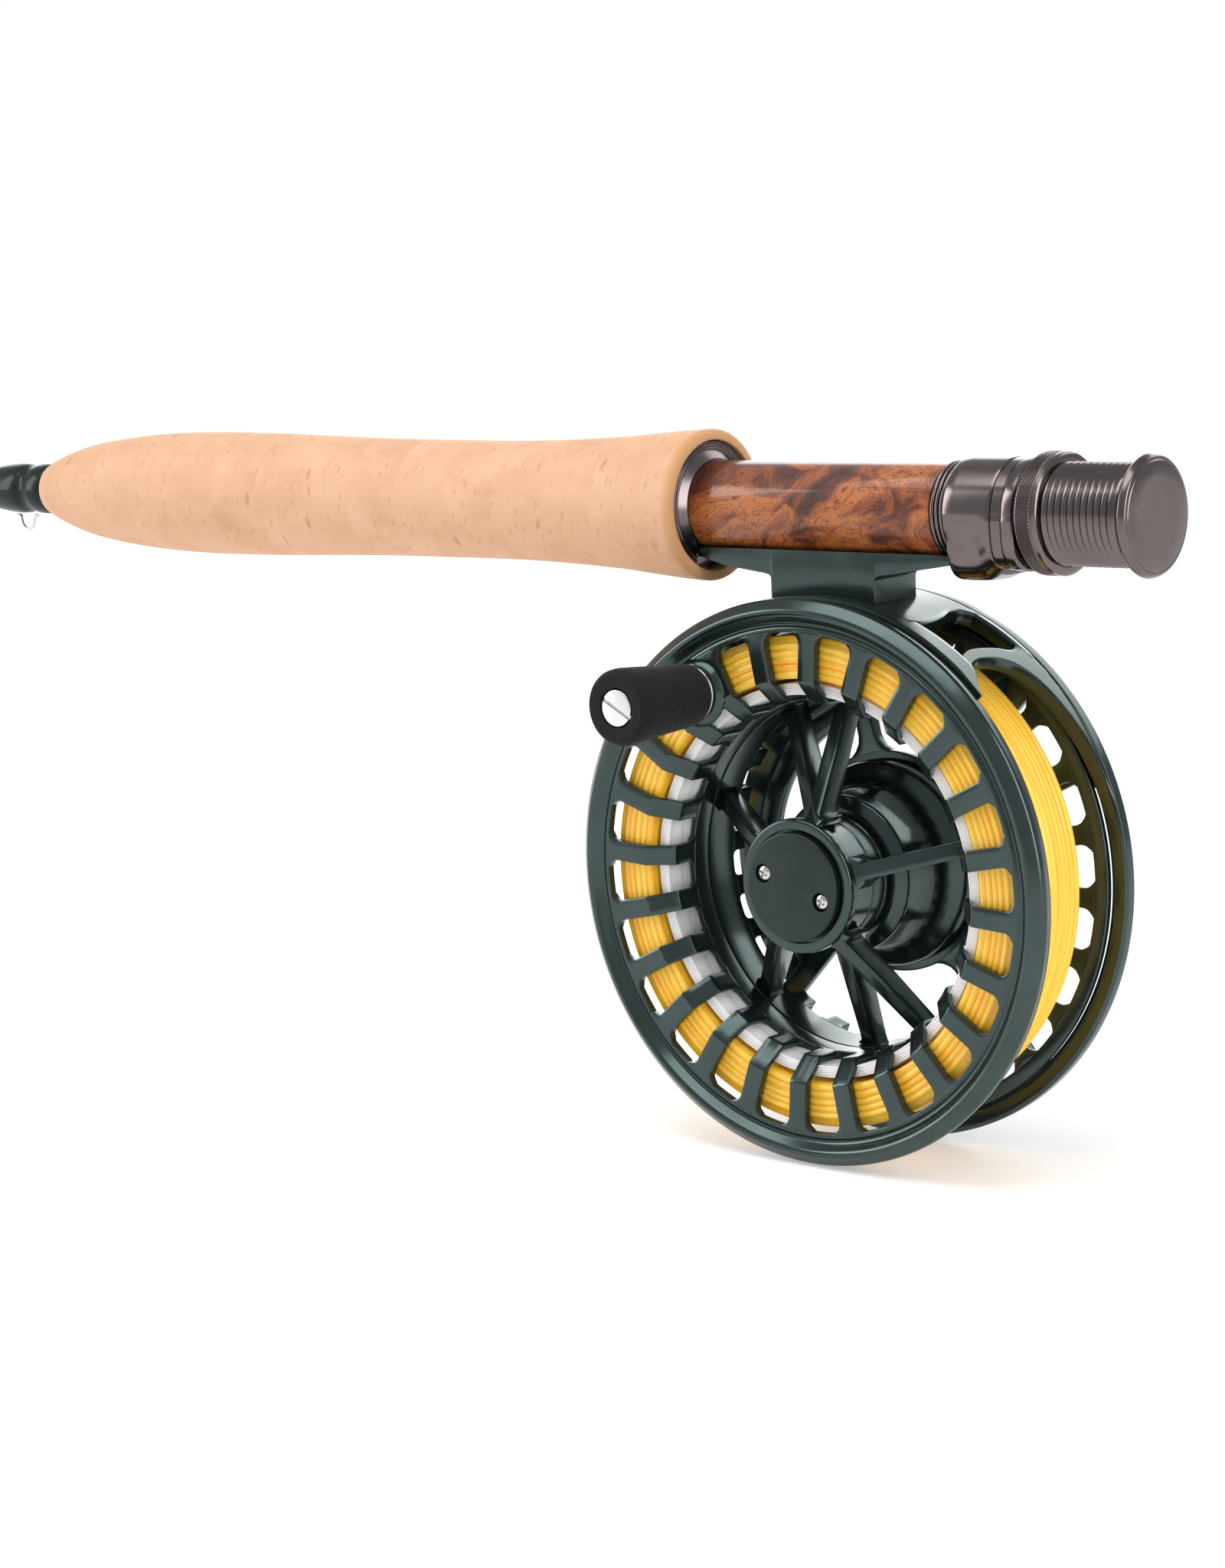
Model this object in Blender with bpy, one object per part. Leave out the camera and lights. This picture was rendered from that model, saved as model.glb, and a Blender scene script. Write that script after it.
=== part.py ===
"""Four-piece fly rod with a large-arbor fly reel, as an assembly of separate pieces.

Metres, +Z up. The rod's axis is the X axis, with the butt at +X and the tip at -X.
The origin is the middle of the cork grip. The reel hangs below the seat at -Z, with its
spindle along Y and its handle towards -Y.
"""

import math

import bmesh
import bpy
from mathutils import Vector

# ---------------------------------------------------------------- driving dimensions
FIT = 0.0003              # clearance between pieces that seat on each other
FERRULE_FIT = 0.00012     # clearance of a rod ferrule

# rod blank, measured from the butt end
ROD_LENGTH = 2.743
SECTIONS = 4
FERRULE_OVERLAP = 0.050
BLANK_BUTT_RADIUS = 0.00475
BLANK_END_RADII = (0.00370, 0.00280, 0.00190, 0.00085)
BLANK_WALL = 0.00045
BLANK_SIDES = 16

# grip
GRIP_LENGTH = 0.183
GRIP_TIP_WALL = 0.0007
GRIP_SWELL_RADIUS = 0.0125
GRIP_WAIST_RADIUS = 0.0114
GRIP_LIP = 0.0021             # cork outside the seat's front ring
GRIP_BORE = BLANK_BUTT_RADIUS + 0.00045
GRIP_TIP_RADIUS = GRIP_BORE + GRIP_TIP_WALL

# reel seat
SEAT_SIDES = 28
RING_INSET = 0.001
RING_DEPTH = 0.0065
WOOD_RADIUS = 0.0082
WOOD_LENGTH = 0.060
RING_MOUTH_RADIUS = WOOD_RADIUS + 0.0024
RING_RADIUS = RING_MOUTH_RADIUS + 0.0012
RING_WALL = 0.0015
GRIP_FLARE_RADIUS = RING_RADIUS + GRIP_LIP
SEAT_BORE = BLANK_BUTT_RADIUS + 0.0004
TRIM_LENGTH = 0.003
TRIM_RADIUS = WOOD_RADIUS + 0.0005
BARREL_LENGTH = 0.0338
BARREL_RADIUS = WOOD_RADIUS + 0.0005
BARREL_NECK = 0.0037
HOOD_LENGTH = 0.0144
HOOD_RADIUS = BARREL_RADIUS + 0.0009
HOOD_FLOOR = 0.0020           # metal under the foot's end
HOOD_CHEEK = 0.0032           # and beside it
LOCK_RING_LENGTH = 0.005
LOCK_RING_RADIUS = HOOD_RADIUS + 0.0009
CAP_RADIUS = LOCK_RING_RADIUS
CAP_LENGTH = 0.003
CAP_PLUG_LENGTH = 0.008
BLANK_END_SETBACK = 0.0132

# reel, about its own spindle
REEL_SIDES = 48
PITCH = math.radians(15)  # slots and ports repeat 24 times
SPOOL_RADIUS = 0.0510
RIM_CREST_RADIUS = SPOOL_RADIUS - 0.0025
RIM_INNER_RADIUS = SPOOL_RADIUS - 0.0046
RIM_HEIGHT = 0.0013
FLANGE_FRONT_Y = -0.0142
FLANGE_THICKNESS = 0.0017
SPOOL_SKIRT = 0.0018
BEVEL_RADIUS = 0.0362     # where the front flange turns into the arbor's bevel
ARBOR_RADIUS = 0.0320
ARBOR_WALL = 0.0012
REAR_FLANGE_Y = 0.0090
REAR_FLANGE_RADIUS = SPOOL_RADIUS - 0.0048
SLOT_OUTER_RADIUS = SPOOL_RADIUS - 0.0060
SLOT_CORNER = 0.0016
SLOT_DEPTH = 0.0097       # along the spindle, from the flange's face
BAR_WIDTH = 0.0037        # metal between two slots
REAR_SLOT_RADIUS = SPOOL_RADIUS - 0.0090
NOTCH_DEPTH = 0.0034
NOTCH_WIDTH = 0.0046
FIRST_SLOT = math.radians(-19.1)
HANDLE_ANGLE = FIRST_SLOT - PITCH
HANDLE_RADIUS = SPOOL_RADIUS - 0.0110
HUB_RING_RADIUS = 0.0121
HUB_BARREL_RADIUS = 0.0113
HUB_FRONT_Y = -0.0158
HUB_REAR_Y = -0.0034
HUB_BORE = 0.0083
SPOKE_WIDTH = 0.0030
SPOKE_HUB_DEPTH = 0.0062
SPOKE_WALL_DEPTH = 0.0040
SPOKE_WALL_Y = 0.0015
SPOKES = ((19, -24), (14, -1.5), (75, 75.5), (141, 151.5), (134, 175.5), (212, 221.5), (302, 290))
HUB_CAP_RADIUS = 0.0098
HUB_CAP_THICKNESS = 0.0020
CAP_SCREW_OFFSET = 0.0066
CAP_SCREW_RADIUS = 0.0014
BACKING_DEPTH = 0.0030        # wound on the arbor, under the line
BACKING_RADIUS = ARBOR_RADIUS + ARBOR_WALL + BACKING_DEPTH
LINE_RADIUS = SPOOL_RADIUS - 0.0067

# frame
FRAME_RADIUS = SPOOL_RADIUS
FRAME_WALL = 0.0028
FRAME_FRONT_Y = -0.0103
FRAME_REAR_Y = 0.0150
BACK_PLATE = 0.0025
REAR_BAND = 0.0045
FRONT_BAND = 0.0046
PLATE_HALF_ANGLE = math.radians(22.5)
POST_ANGLES = (math.radians(35), math.radians(38.5))
FRONT_BAND_END = math.radians(44)
PORT_RADII = (FRAME_RADIUS - 0.0117, FRAME_RADIUS - 0.0055)
PORT_WIDTH = 0.0074
HUB_DISC_RADIUS = 0.0205
ARM_WIDTH = 0.0042
ARM_ANGLES = (-12, 64, 140, 222)
WINDOW_RADIUS = FRAME_RADIUS - 0.0135
BRIDGE_RADII = (0.0265, 0.0305)   # curved bridge between the first and the last arm
SHAFT_HOLE = 0.0060

# drag and spindle
HOUSING_FRONT_Y = -0.0029
HOUSING_RADIUS = 0.0138
HOUSING_FLARE_RADIUS = 0.0192
HOUSING_WALL = 0.0018
SPINDLE_RADIUS = 0.0030
BEARING_RADIUS = 0.0070
BEARING_WIDTH = 0.0031
CLUTCH_LENGTH = 0.0036
DISC_RADIUS = 0.0110
DISC_THICKNESSES = (0.0010, 0.0012, 0.0010)
DRAG_KNOB_RADIUS = 0.0140
DRAG_KNOB_LENGTH = 0.0085
DRAG_SHAFT_RADIUS = 0.0045

# foot
FOOT_INSET = 0.0020           # how far the foot goes in under the front ring
FOOT_THICKNESS = 0.0037
FOOT_TIP_THICKNESS = 0.0008
STEM_HEIGHT = 0.0064          # from the foot's top down to the frame
FOOT_HALF_LENGTH = 0.0310
FOOT_HALF_WIDTH = 0.0063
SADDLE_GAP = 0.00185            # from the wood down to the edges of the saddle
STEM_HALF_LENGTH = 0.0114
FOOT_SCREW_RADIUS = 0.0015
FOOT_SCREW_HEAD = 0.0027
FOOT_SCREW_SPACING = 0.0120

# handle
KNOB_LENGTH = 0.0205
KNOB_END_RADIUS = 0.0068
KNOB_BASE_RADIUS = 0.0052
KNOB_BORE = 0.0021
HANDLE_POST_RADIUS = 0.0018
HANDLE_HEAD_RADIUS = 0.0033
HANDLE_BOSS_RADIUS = 0.0052
HANDLE_BOSS_HEIGHT = 0.0010
WASHER_THICKNESS = 0.0006

# guides, as distances from the tip end, with the loop radius of each
STRIPPING_GUIDE_FROM_TIP = 2.007
STRIPPING_RING_RADIUS = 0.0056
GUIDES_FROM_TIP = (1.727, 1.448, 1.194, 0.965, 0.762, 0.584, 0.419, 0.267, 0.127)
GUIDE_WIRE = 0.00045
GUIDE_FOOT = 0.0060

# ---------------------------------------------------------------- places worked out
BUTT_X = GRIP_LENGTH / 2 - RING_INSET - RING_DEPTH + 0.0005 + WOOD_LENGTH + TRIM_LENGTH
BUTT_X += BARREL_LENGTH + CAP_LENGTH + 3 * FIT
TIP_X = BUTT_X - ROD_LENGTH
SECTION_LENGTH = (ROD_LENGTH - BLANK_END_SETBACK + (SECTIONS - 1) * FERRULE_OVERLAP) / SECTIONS
BLANK_END_X = BUTT_X - BLANK_END_SETBACK
RING_FACE_X = GRIP_LENGTH / 2 - RING_INSET
RING_BACK_X = RING_FACE_X - RING_DEPTH
WOOD_X = RING_BACK_X + 0.0005
TRIM_X = WOOD_X + WOOD_LENGTH + FIT
BARREL_X = TRIM_X + TRIM_LENGTH + FIT
CAP_X = BARREL_X + BARREL_LENGTH + FIT
HOOD_X = BARREL_X
LOCK_RING_X = HOOD_X + HOOD_LENGTH + FIT
FOOT_TOP = -(WOOD_RADIUS + 0.0001)
FOOT_CROWN = WOOD_RADIUS - math.sqrt(WOOD_RADIUS ** 2 - FOOT_HALF_WIDTH ** 2) - SADDLE_GAP
REEL_X = RING_FACE_X - FOOT_INSET + FOOT_HALF_LENGTH
REEL_DROP = FRAME_RADIUS + STEM_HEIGHT - FOOT_TOP
REEL_CENTRE = Vector((REEL_X, 0, -REEL_DROP))


# ---------------------------------------------------------------- helpers
def clear_scene():
    for obj in list(bpy.data.objects):
        bpy.data.objects.remove(obj, do_unlink=True)


def material(name, colour, roughness, metallic):
    mat = bpy.data.materials.new(name)
    mat.use_nodes = True
    shader = mat.node_tree.nodes["Principled BSDF"]
    shader.inputs["Base Color"].default_value = (*colour, 1)
    shader.inputs["Roughness"].default_value = roughness
    shader.inputs["Metallic"].default_value = metallic
    return mat


def add_object(name, bm, parent=None, mat=None, cutter=False):
    """Puts a finished bmesh in the scene with its faces pointing outwards."""
    bmesh.ops.recalc_face_normals(bm, faces=bm.faces)
    mesh = bpy.data.meshes.new(name)
    bm.to_mesh(mesh)
    bm.free()
    obj = bpy.data.objects.new(name, mesh)
    bpy.context.scene.collection.objects.link(obj)
    obj.parent = parent
    if mat:
        mesh.materials.append(mat)
    if cutter:
        obj.hide_render = True
        obj.display_type = "WIRE"
    else:
        mesh.shade_smooth()
        mesh.set_sharp_from_angle(angle=math.radians(30))
    return obj


def boolean(obj, other, operation="DIFFERENCE"):
    mod = obj.modifiers.new(operation.title(), "BOOLEAN")
    mod.operation = operation
    mod.solver = "EXACT"
    mod.object = other


def axis_point(axis, along, radius, angle):
    """A point at a radius about the X or the Y axis; angle 0 is straight up."""
    across = radius * math.sin(angle)
    up = radius * math.cos(angle)
    return (along, across, up) if axis == "X" else (across, along, up)


def lathe(bm, profile, axis="X", sides=24, closed=False, offset=(0, 0, 0), phase=0.0):
    """Turns a profile of (along, radius) points; a radius of 0 closes on the axis."""
    rings = []
    shift = Vector(offset)
    for along, radius in profile:
        if radius == 0:
            rings.append([bm.verts.new(Vector(axis_point(axis, along, 0, 0)) + shift)])
            continue
        turns = [phase + 2 * math.pi * i / sides for i in range(sides)]
        rings.append([bm.verts.new(Vector(axis_point(axis, along, radius, a)) + shift) for a in turns])
    pairs = list(zip(rings, rings[1:]))
    if closed:
        pairs.append((rings[-1], rings[0]))
    for first, second in pairs:
        for i in range(sides):
            j = (i + 1) % sides
            a, b = first[i % len(first)], first[j % len(first)]
            c, d = second[j % len(second)], second[i % len(second)]
            corners = [a, b, c, d] if len(first) > 1 and len(second) > 1 else None
            if corners is None:
                corners = [a, c, d] if len(first) == 1 else [a, b, c]
            bm.faces.new(corners)


def turned(name, profile, mat, parent=None, **options):
    bm = bmesh.new()
    lathe(bm, profile, **options)
    return add_object(name, bm, parent, mat)


def prism(bm, outline, low, high):
    """Closed prism of an (x, z) outline, from low to high along Y."""
    count = len(outline)
    near = [bm.verts.new((x, low, z)) for x, z in outline]
    far = [bm.verts.new((x, high, z)) for x, z in outline]
    bm.faces.new(near)
    bm.faces.new(far)
    for i in range(count):
        j = (i + 1) % count
        bm.faces.new((near[i], near[j], far[j], far[i]))


def band(bm, angles, lows, highs, inner, outer):
    """A bent bar about the spindle: at each angle it runs from a low to a high Y."""
    rings = []
    for angle, low, high in zip(angles, lows, highs):
        corners = ((low, inner), (high, inner), (high, outer), (low, outer))
        rings.append([bm.verts.new(axis_point("Y", y, r, angle)) for y, r in corners])
    for first, second in zip(rings, rings[1:]):
        for i in range(4):
            j = (i + 1) % 4
            bm.faces.new((first[i], first[j], second[j], second[i]))
    bm.faces.new(rings[0])
    bm.faces.new(rings[-1])


def sweep(bm, points, radius, sides=6):
    """A round wire along a list of points, with flat ends."""
    points = [Vector(p) for p in points]
    normal = None
    rings = []
    for i, point in enumerate(points):
        ahead = points[min(i + 1, len(points) - 1)]
        behind = points[max(i - 1, 0)]
        tangent = (ahead - behind).normalized()
        if normal is None:
            normal = tangent.orthogonal().normalized()
        normal = (normal - tangent * normal.dot(tangent)).normalized()
        side = tangent.cross(normal)
        ring = []
        for k in range(sides):
            a = 2 * math.pi * k / sides
            ring.append(bm.verts.new(point + radius * (math.cos(a) * normal + math.sin(a) * side)))
        rings.append(ring)
    for first, second in zip(rings, rings[1:]):
        for k in range(sides):
            n = (k + 1) % sides
            bm.faces.new((first[k], first[n], second[n], second[k]))
    bm.faces.new(rings[0])
    bm.faces.new(rings[-1])


def loft(bm, sections):
    """Joins closed sections that have the same number of points."""
    rings = [[bm.verts.new(p) for p in section] for section in sections]
    count = len(rings[0])
    for first, second in zip(rings, rings[1:]):
        for i in range(count):
            j = (i + 1) % count
            bm.faces.new((first[i], first[j], second[j], second[i]))
    bm.faces.new(rings[0])
    bm.faces.new(rings[-1])


def mix(a, b, t):
    return a + (b - a) * t


def smooth(t):
    t = min(max(t, 0.0), 1.0)
    return t * t * (3 - 2 * t)


def empty(name, location):
    obj = bpy.data.objects.new(name, None)
    obj.location = location
    bpy.context.scene.collection.objects.link(obj)
    return obj


# ---------------------------------------------------------------- rod
def section_span(index):
    """Butt-side and tip-side X of one blank section."""
    start = BLANK_END_X - index * (SECTION_LENGTH - FERRULE_OVERLAP)
    return start, start - SECTION_LENGTH


def base_radius(index):
    """Outer radius at the butt side: a ferrule goes over the section before it."""
    if index == 0:
        return BLANK_BUTT_RADIUS
    before = blank_radius(index - 1, section_span(index)[0])
    return before + FERRULE_FIT + BLANK_WALL


def blank_radius(index, x):
    start, end = section_span(index)
    return mix(base_radius(index), BLANK_END_RADII[index], (start - x) / (start - end))


def section_at(x):
    """The section whose outside is seen at x."""
    for index in reversed(range(SECTIONS)):
        start, end = section_span(index)
        if end - 0.001 <= x <= start:
            return index
    return 0


def surface_radius(x):
    return blank_radius(section_at(x), x)


def make_blank(index, mat):
    start, end = section_span(index)
    inner_end = max(BLANK_END_RADII[index] - BLANK_WALL, 0.0004)
    profile = [(start, base_radius(index)), (end, BLANK_END_RADII[index]), (end, inner_end)]
    if index:
        bottom = start - FERRULE_OVERLAP - 0.001
        bore = blank_radius(index - 1, start - FERRULE_OVERLAP) + FERRULE_FIT
        profile.append((bottom, min(bore, blank_radius(index, bottom) - BLANK_WALL)))
        profile.append((start, blank_radius(index - 1, start) + FERRULE_FIT))
    else:
        profile.append((start, BLANK_BUTT_RADIUS - 2 * BLANK_WALL))
    names = ("blank_butt_section", "blank_second_section", "blank_third_section", "blank_tip_section")
    return turned(names[index], profile, mat, sides=BLANK_SIDES, closed=True)


def make_ferrule_wrap(index, mat):
    """Thread winding that stops the open end of a ferrule from splitting."""
    start = section_span(index)[0] - 0.0005
    length = 0.014
    ends = (blank_radius(index, start) + 0.0001, blank_radius(index, start - length) + 0.0001)
    profile = [(start, ends[0]), (start, ends[0] + 0.0002), (start - 0.0015, ends[0] + 0.0005)]
    profile += [(start - length + 0.0015, ends[1] + 0.0005), (start - length, ends[1] + 0.0002)]
    profile.append((start - length, ends[1]))
    return turned(f"ferrule_wrap_{index}", profile, mat, sides=BLANK_SIDES, closed=True)


def make_grip_winding(mat):
    """Two varnished thread bulges on the blank ahead of the grip."""
    start = -GRIP_LENGTH / 2 - FIT
    outline = ((0.0, 0.0003), (0.0012, 0.0007), (0.0045, 0.0009), (0.0072, 0.0004), (0.0100, 0.0009))
    outline += ((0.0150, 0.0008), (0.0200, 0.0003))
    profile = [(start - d, surface_radius(start - d) + 0.0001 + h) for d, h in outline]
    far = outline[-1][0]
    profile.append((start - far, surface_radius(start - far) + 0.0001))
    profile.append((start, surface_radius(start) + 0.0001))
    return turned("grip_winding", profile, mat, sides=BLANK_SIDES, closed=True)


def make_hook_keeper(mat):
    """Small wire loop under the blank, where a fly is parked."""
    x = -GRIP_LENGTH / 2 - 0.0108
    top = -surface_radius(x) - 0.0016
    half, drop = 0.0022, 0.0026
    points = [(x + half + 0.0012, 0, top), (x + half, 0, top)]
    for i in range(9):
        a = math.pi * i / 8
        points.append((x + half * math.cos(a), 0, top - 0.0004 - drop * math.sin(a)))
    points += [(x - half, 0, top), (x - half - 0.0012, 0, top)]
    bm = bmesh.new()
    sweep(bm, points, 0.0003)
    return add_object("hook_keeper", bm, None, mat)


def guide_loop_radius(x):
    """Guides get smaller towards the tip."""
    return mix(0.0021, 0.0033, (x - TIP_X) / ROD_LENGTH)


def make_snake_guide(number, x, mat):
    """One turn of wire with a straight foot at each end, under the blank."""
    loop = guide_loop_radius(x)
    half = loop * 1.3
    top = -surface_radius(x + half + GUIDE_FOOT) - GUIDE_WIRE - 0.0001
    points = [(x + half + GUIDE_FOOT, 0, top), (x + half + 0.0008, 0, top)]
    turns = 10
    for i in range(turns + 1):
        a = 2 * math.pi * i / turns
        points.append((x + half - 2 * half * i / turns, loop * math.sin(a), top - loop * (1 - math.cos(a))))
    points += [(x - half - 0.0008, 0, top), (x - half - GUIDE_FOOT, 0, top)]
    bm = bmesh.new()
    sweep(bm, points, GUIDE_WIRE, sides=5)
    return add_object(f"snake_guide_{number}", bm, None, mat)


def make_stripping_guide(frame_mat, ring_mat):
    """Two-footed frame with a ceramic ring, the first guide above the reel."""
    x = TIP_X + STRIPPING_GUIDE_FROM_TIP
    outer = STRIPPING_RING_RADIUS + 0.0016
    top = -surface_radius(x + 0.020) - 0.0006
    centre = top - outer - 0.0020
    bm = bmesh.new()
    hoop = ((-0.0007, outer), (0.0007, outer), (0.0007, outer - 0.0009), (-0.0007, outer - 0.0009))
    lathe(bm, hoop, sides=20, closed=True, offset=(x, 0, centre))
    frame = add_object("stripping_guide_frame", bm, None, frame_mat)
    for number, side in enumerate((1, -1)):
        legs = bmesh.new()
        foot = [(x + side * 0.0175, 0, top), (x + side * 0.0095, 0, top)]
        knee = [(x + side * 0.0060, 0, top - 0.0014), (x, 0, centre + outer - 0.0004)]
        sweep(legs, foot + knee, 0.0005)
        leg = add_object(f"guide_leg_{number}", legs, None, None, cutter=True)
        boolean(frame, leg, "UNION")
    bm = bmesh.new()
    ring = STRIPPING_RING_RADIUS
    section = ((-0.0009, ring + 0.0003), (0.0009, ring + 0.0003), (0.0009, ring - 0.0002))
    section += ((0.0, ring - 0.0006), (-0.0009, ring - 0.0002))
    lathe(bm, section, sides=20, closed=True, offset=(x, 0, centre))
    add_object("stripping_guide_ring", bm, None, ring_mat)


def make_tip_top(mat):
    """Sleeve over the tip with a wire loop that the line leaves through."""
    sleeve = 0.0110
    inner = BLANK_END_RADII[-1] + 0.0002
    start = TIP_X + sleeve
    profile = [(start, inner + 0.0004), (TIP_X - 0.0006, inner + 0.0003), (TIP_X - 0.0006, 0.0004)]
    profile += [(TIP_X - FIT, 0.0004), (TIP_X - FIT, inner), (start, inner)]
    tube = turned("tip_top", profile, mat, sides=12, closed=True)
    loop = 0.0028
    bm = bmesh.new()
    hoop = [(GUIDE_WIRE * math.sin(a), loop - GUIDE_WIRE * math.cos(a)) for a in (k * math.pi / 3 for k in range(6))]
    lathe(bm, hoop, sides=16, closed=True, offset=(TIP_X - 0.0006, 0, -loop - 0.0006))
    ring = add_object("tip_loop", bm, None, None, cutter=True)
    boolean(tube, ring, "UNION")


# ---------------------------------------------------------------- grip and seat
def grip_radius(x):
    """Half-wells outline: rounded tip, swell, waist and a flare at the seat."""
    t = (x + GRIP_LENGTH / 2) / GRIP_LENGTH
    if t < 0.27:
        return mix(GRIP_TIP_RADIUS - 0.0009, GRIP_SWELL_RADIUS, math.sin(math.pi / 2 * (t / 0.27)) ** 0.8)
    if t < 0.70:
        return mix(GRIP_SWELL_RADIUS, GRIP_WAIST_RADIUS, smooth((t - 0.27) / 0.43))
    return mix(GRIP_WAIST_RADIUS, GRIP_FLARE_RADIUS, smooth((t - 0.70) / 0.33))


def make_grip(mat):
    end = GRIP_LENGTH / 2
    steps = (0, 0.01, 0.03, 0.06, 0.10, 0.15, 0.21, 0.28, 0.40, 0.52, 0.64, 0.74, 0.83, 0.91, 0.965)
    profile = [(-end, GRIP_BORE), (-end, GRIP_TIP_RADIUS)]
    profile += [(-end + s * GRIP_LENGTH, grip_radius(-end + s * GRIP_LENGTH)) for s in steps[2:]]
    profile += [(end - 0.0022, GRIP_FLARE_RADIUS), (end - 0.0006, GRIP_FLARE_RADIUS - 0.0005)]
    profile += [(end, GRIP_FLARE_RADIUS - 0.0012), (end, RING_RADIUS + FIT)]
    profile += [(RING_BACK_X - FIT, RING_RADIUS + FIT), (RING_BACK_X - FIT, GRIP_BORE)]
    turned("cork_grip", profile, mat, sides=SEAT_SIDES, closed=True)


def make_seat(metal, wood):
    mouth = RING_BACK_X + RING_WALL
    profile = [(RING_BACK_X, WOOD_RADIUS + FIT), (RING_BACK_X, RING_RADIUS), (RING_FACE_X, RING_RADIUS)]
    profile += [(RING_FACE_X, RING_MOUTH_RADIUS), (mouth, RING_MOUTH_RADIUS), (mouth, WOOD_RADIUS + FIT)]
    turned("seat_front_ring", profile, metal, sides=SEAT_SIDES, closed=True)

    ends = (WOOD_X, WOOD_X + WOOD_LENGTH)
    profile = [(ends[0], SEAT_BORE), (ends[0], WOOD_RADIUS), (ends[1], WOOD_RADIUS), (ends[1], SEAT_BORE)]
    turned("wood_insert", profile, wood, sides=SEAT_SIDES, closed=True)

    ends = (TRIM_X, TRIM_X + TRIM_LENGTH)
    profile = [(ends[0], SEAT_BORE), (ends[0], WOOD_RADIUS), (ends[0] + 0.0004, TRIM_RADIUS)]
    profile += [(ends[1] - 0.0006, TRIM_RADIUS), (ends[1], WOOD_RADIUS), (ends[1], SEAT_BORE)]
    trim = turned("trim_ring", profile, metal, sides=SEAT_SIDES, closed=True)
    bm = bmesh.new()
    relief = 0.0004 - WOOD_RADIUS
    prism(bm, [(ends[0] - 0.001, relief), (ends[1] + 0.001, relief), (ends[1] + 0.001, -2 * WOOD_RADIUS),
               (ends[0] - 0.001, -2 * WOOD_RADIUS)], -0.0045, 0.0045)
    boolean(trim, add_object("trim_ring_flat", bm, None, None, cutter=True))

    neck = BARREL_X + BARREL_NECK
    end = BARREL_X + BARREL_LENGTH
    profile = [(BARREL_X, SEAT_BORE), (BARREL_X, WOOD_RADIUS - 0.0001), (neck, WOOD_RADIUS - 0.0001)]
    profile += [(neck + 0.0004, BARREL_RADIUS), (end, BARREL_RADIUS), (end, SEAT_BORE)]
    turned("threaded_barrel", profile, metal, sides=SEAT_SIDES, closed=True)

    face = CAP_X + CAP_LENGTH
    plug = CAP_X - CAP_PLUG_LENGTH
    profile = [(plug, 0), (plug, SEAT_BORE - FIT), (CAP_X, SEAT_BORE - FIT), (CAP_X, CAP_RADIUS - 0.0010)]
    profile += [(CAP_X + 0.0008, CAP_RADIUS - 0.0002), (face - 0.0012, CAP_RADIUS)]
    profile += [(face - 0.0003, CAP_RADIUS - 0.0005), (face, CAP_RADIUS - 0.0012), (face, 0)]
    turned("butt_cap", profile, metal, sides=SEAT_SIDES)


def make_hood(metal):
    """Sliding hood: a sleeve on the barrel with a pocket that grips the foot's end."""
    axis = empty("hood_axis", (HOOD_X, 0, 0))
    bore = BARREL_RADIUS + FIT
    end = HOOD_LENGTH
    profile = [(0, bore), (0, HOOD_RADIUS - 0.0003), (0.0005, HOOD_RADIUS), (end - 0.0034, HOOD_RADIUS)]
    profile += [(end - 0.0030, HOOD_RADIUS - 0.0002), (end, HOOD_RADIUS - 0.0002), (end, bore)]
    hood = turned("sliding_hood", profile, metal, axis, sides=SEAT_SIDES, closed=True)

    pocket_drop = HOOD_FLOOR + FIT - foot_bottom(HOOD_X - REEL_X)
    pocket_side = HOOD_CHEEK + FIT + foot_half_width(HOOD_X - REEL_X)
    waist = BARREL_RADIUS / 2
    drops = ((0.0, -0.0004), (0.0012, 0.0), (0.0052, 0.0), (0.0085, -0.0008), (0.0112, -0.0020))
    sections = []
    for x, lift in drops:
        drop = pocket_drop + lift
        section = []
        for i in range(9):
            a = math.pi * i / 8
            side = pocket_side * math.copysign(abs(math.cos(a)) ** 0.8, math.cos(a))
            section.append((x, side, -waist - (drop - waist) * math.sin(a) ** 0.7))
        sections.append(section)
    bm = bmesh.new()
    loft(bm, sections)
    pocket = add_object("hood_pocket", bm, axis, None, cutter=True)
    boolean(hood, pocket, "UNION")

    bm = bmesh.new()
    lathe(bm, [(-0.001, 0), (-0.001, bore), (end + 0.001, bore), (end + 0.001, 0)], sides=SEAT_SIDES)
    core = add_object("hood_bore", bm, axis, None, cutter=True)
    boolean(hood, core)

    reach = REEL_X + FOOT_HALF_LENGTH + FIT - HOOD_X
    bm = bmesh.new()
    side = foot_half_width(HOOD_X - REEL_X) + FIT
    floor = foot_bottom(HOOD_X - REEL_X) - FIT
    roof = 0.0022 - WOOD_RADIUS
    outline = [(-0.001, floor), (reach, floor), (reach, roof), (-0.001, roof)]
    prism(bm, outline, -side, side)
    mouth = add_object("hood_mouth", bm, axis, None, cutter=True)
    boolean(hood, mouth)


def make_lock_ring(metal):
    axis = empty("lock_ring_axis", (LOCK_RING_X, 0, 0))
    bore = BARREL_RADIUS + FIT
    end = LOCK_RING_LENGTH
    profile = [(0, bore), (0, HOOD_RADIUS - 0.0002), (0.0007, LOCK_RING_RADIUS - 0.0004)]
    profile += [(0.0007, LOCK_RING_RADIUS), (0.0041, LOCK_RING_RADIUS), (0.0044, LOCK_RING_RADIUS - 0.0003)]
    profile += [(end, LOCK_RING_RADIUS - 0.0006), (end, bore)]
    turned("lock_ring", profile, metal, axis, sides=SEAT_SIDES, closed=True)


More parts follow.
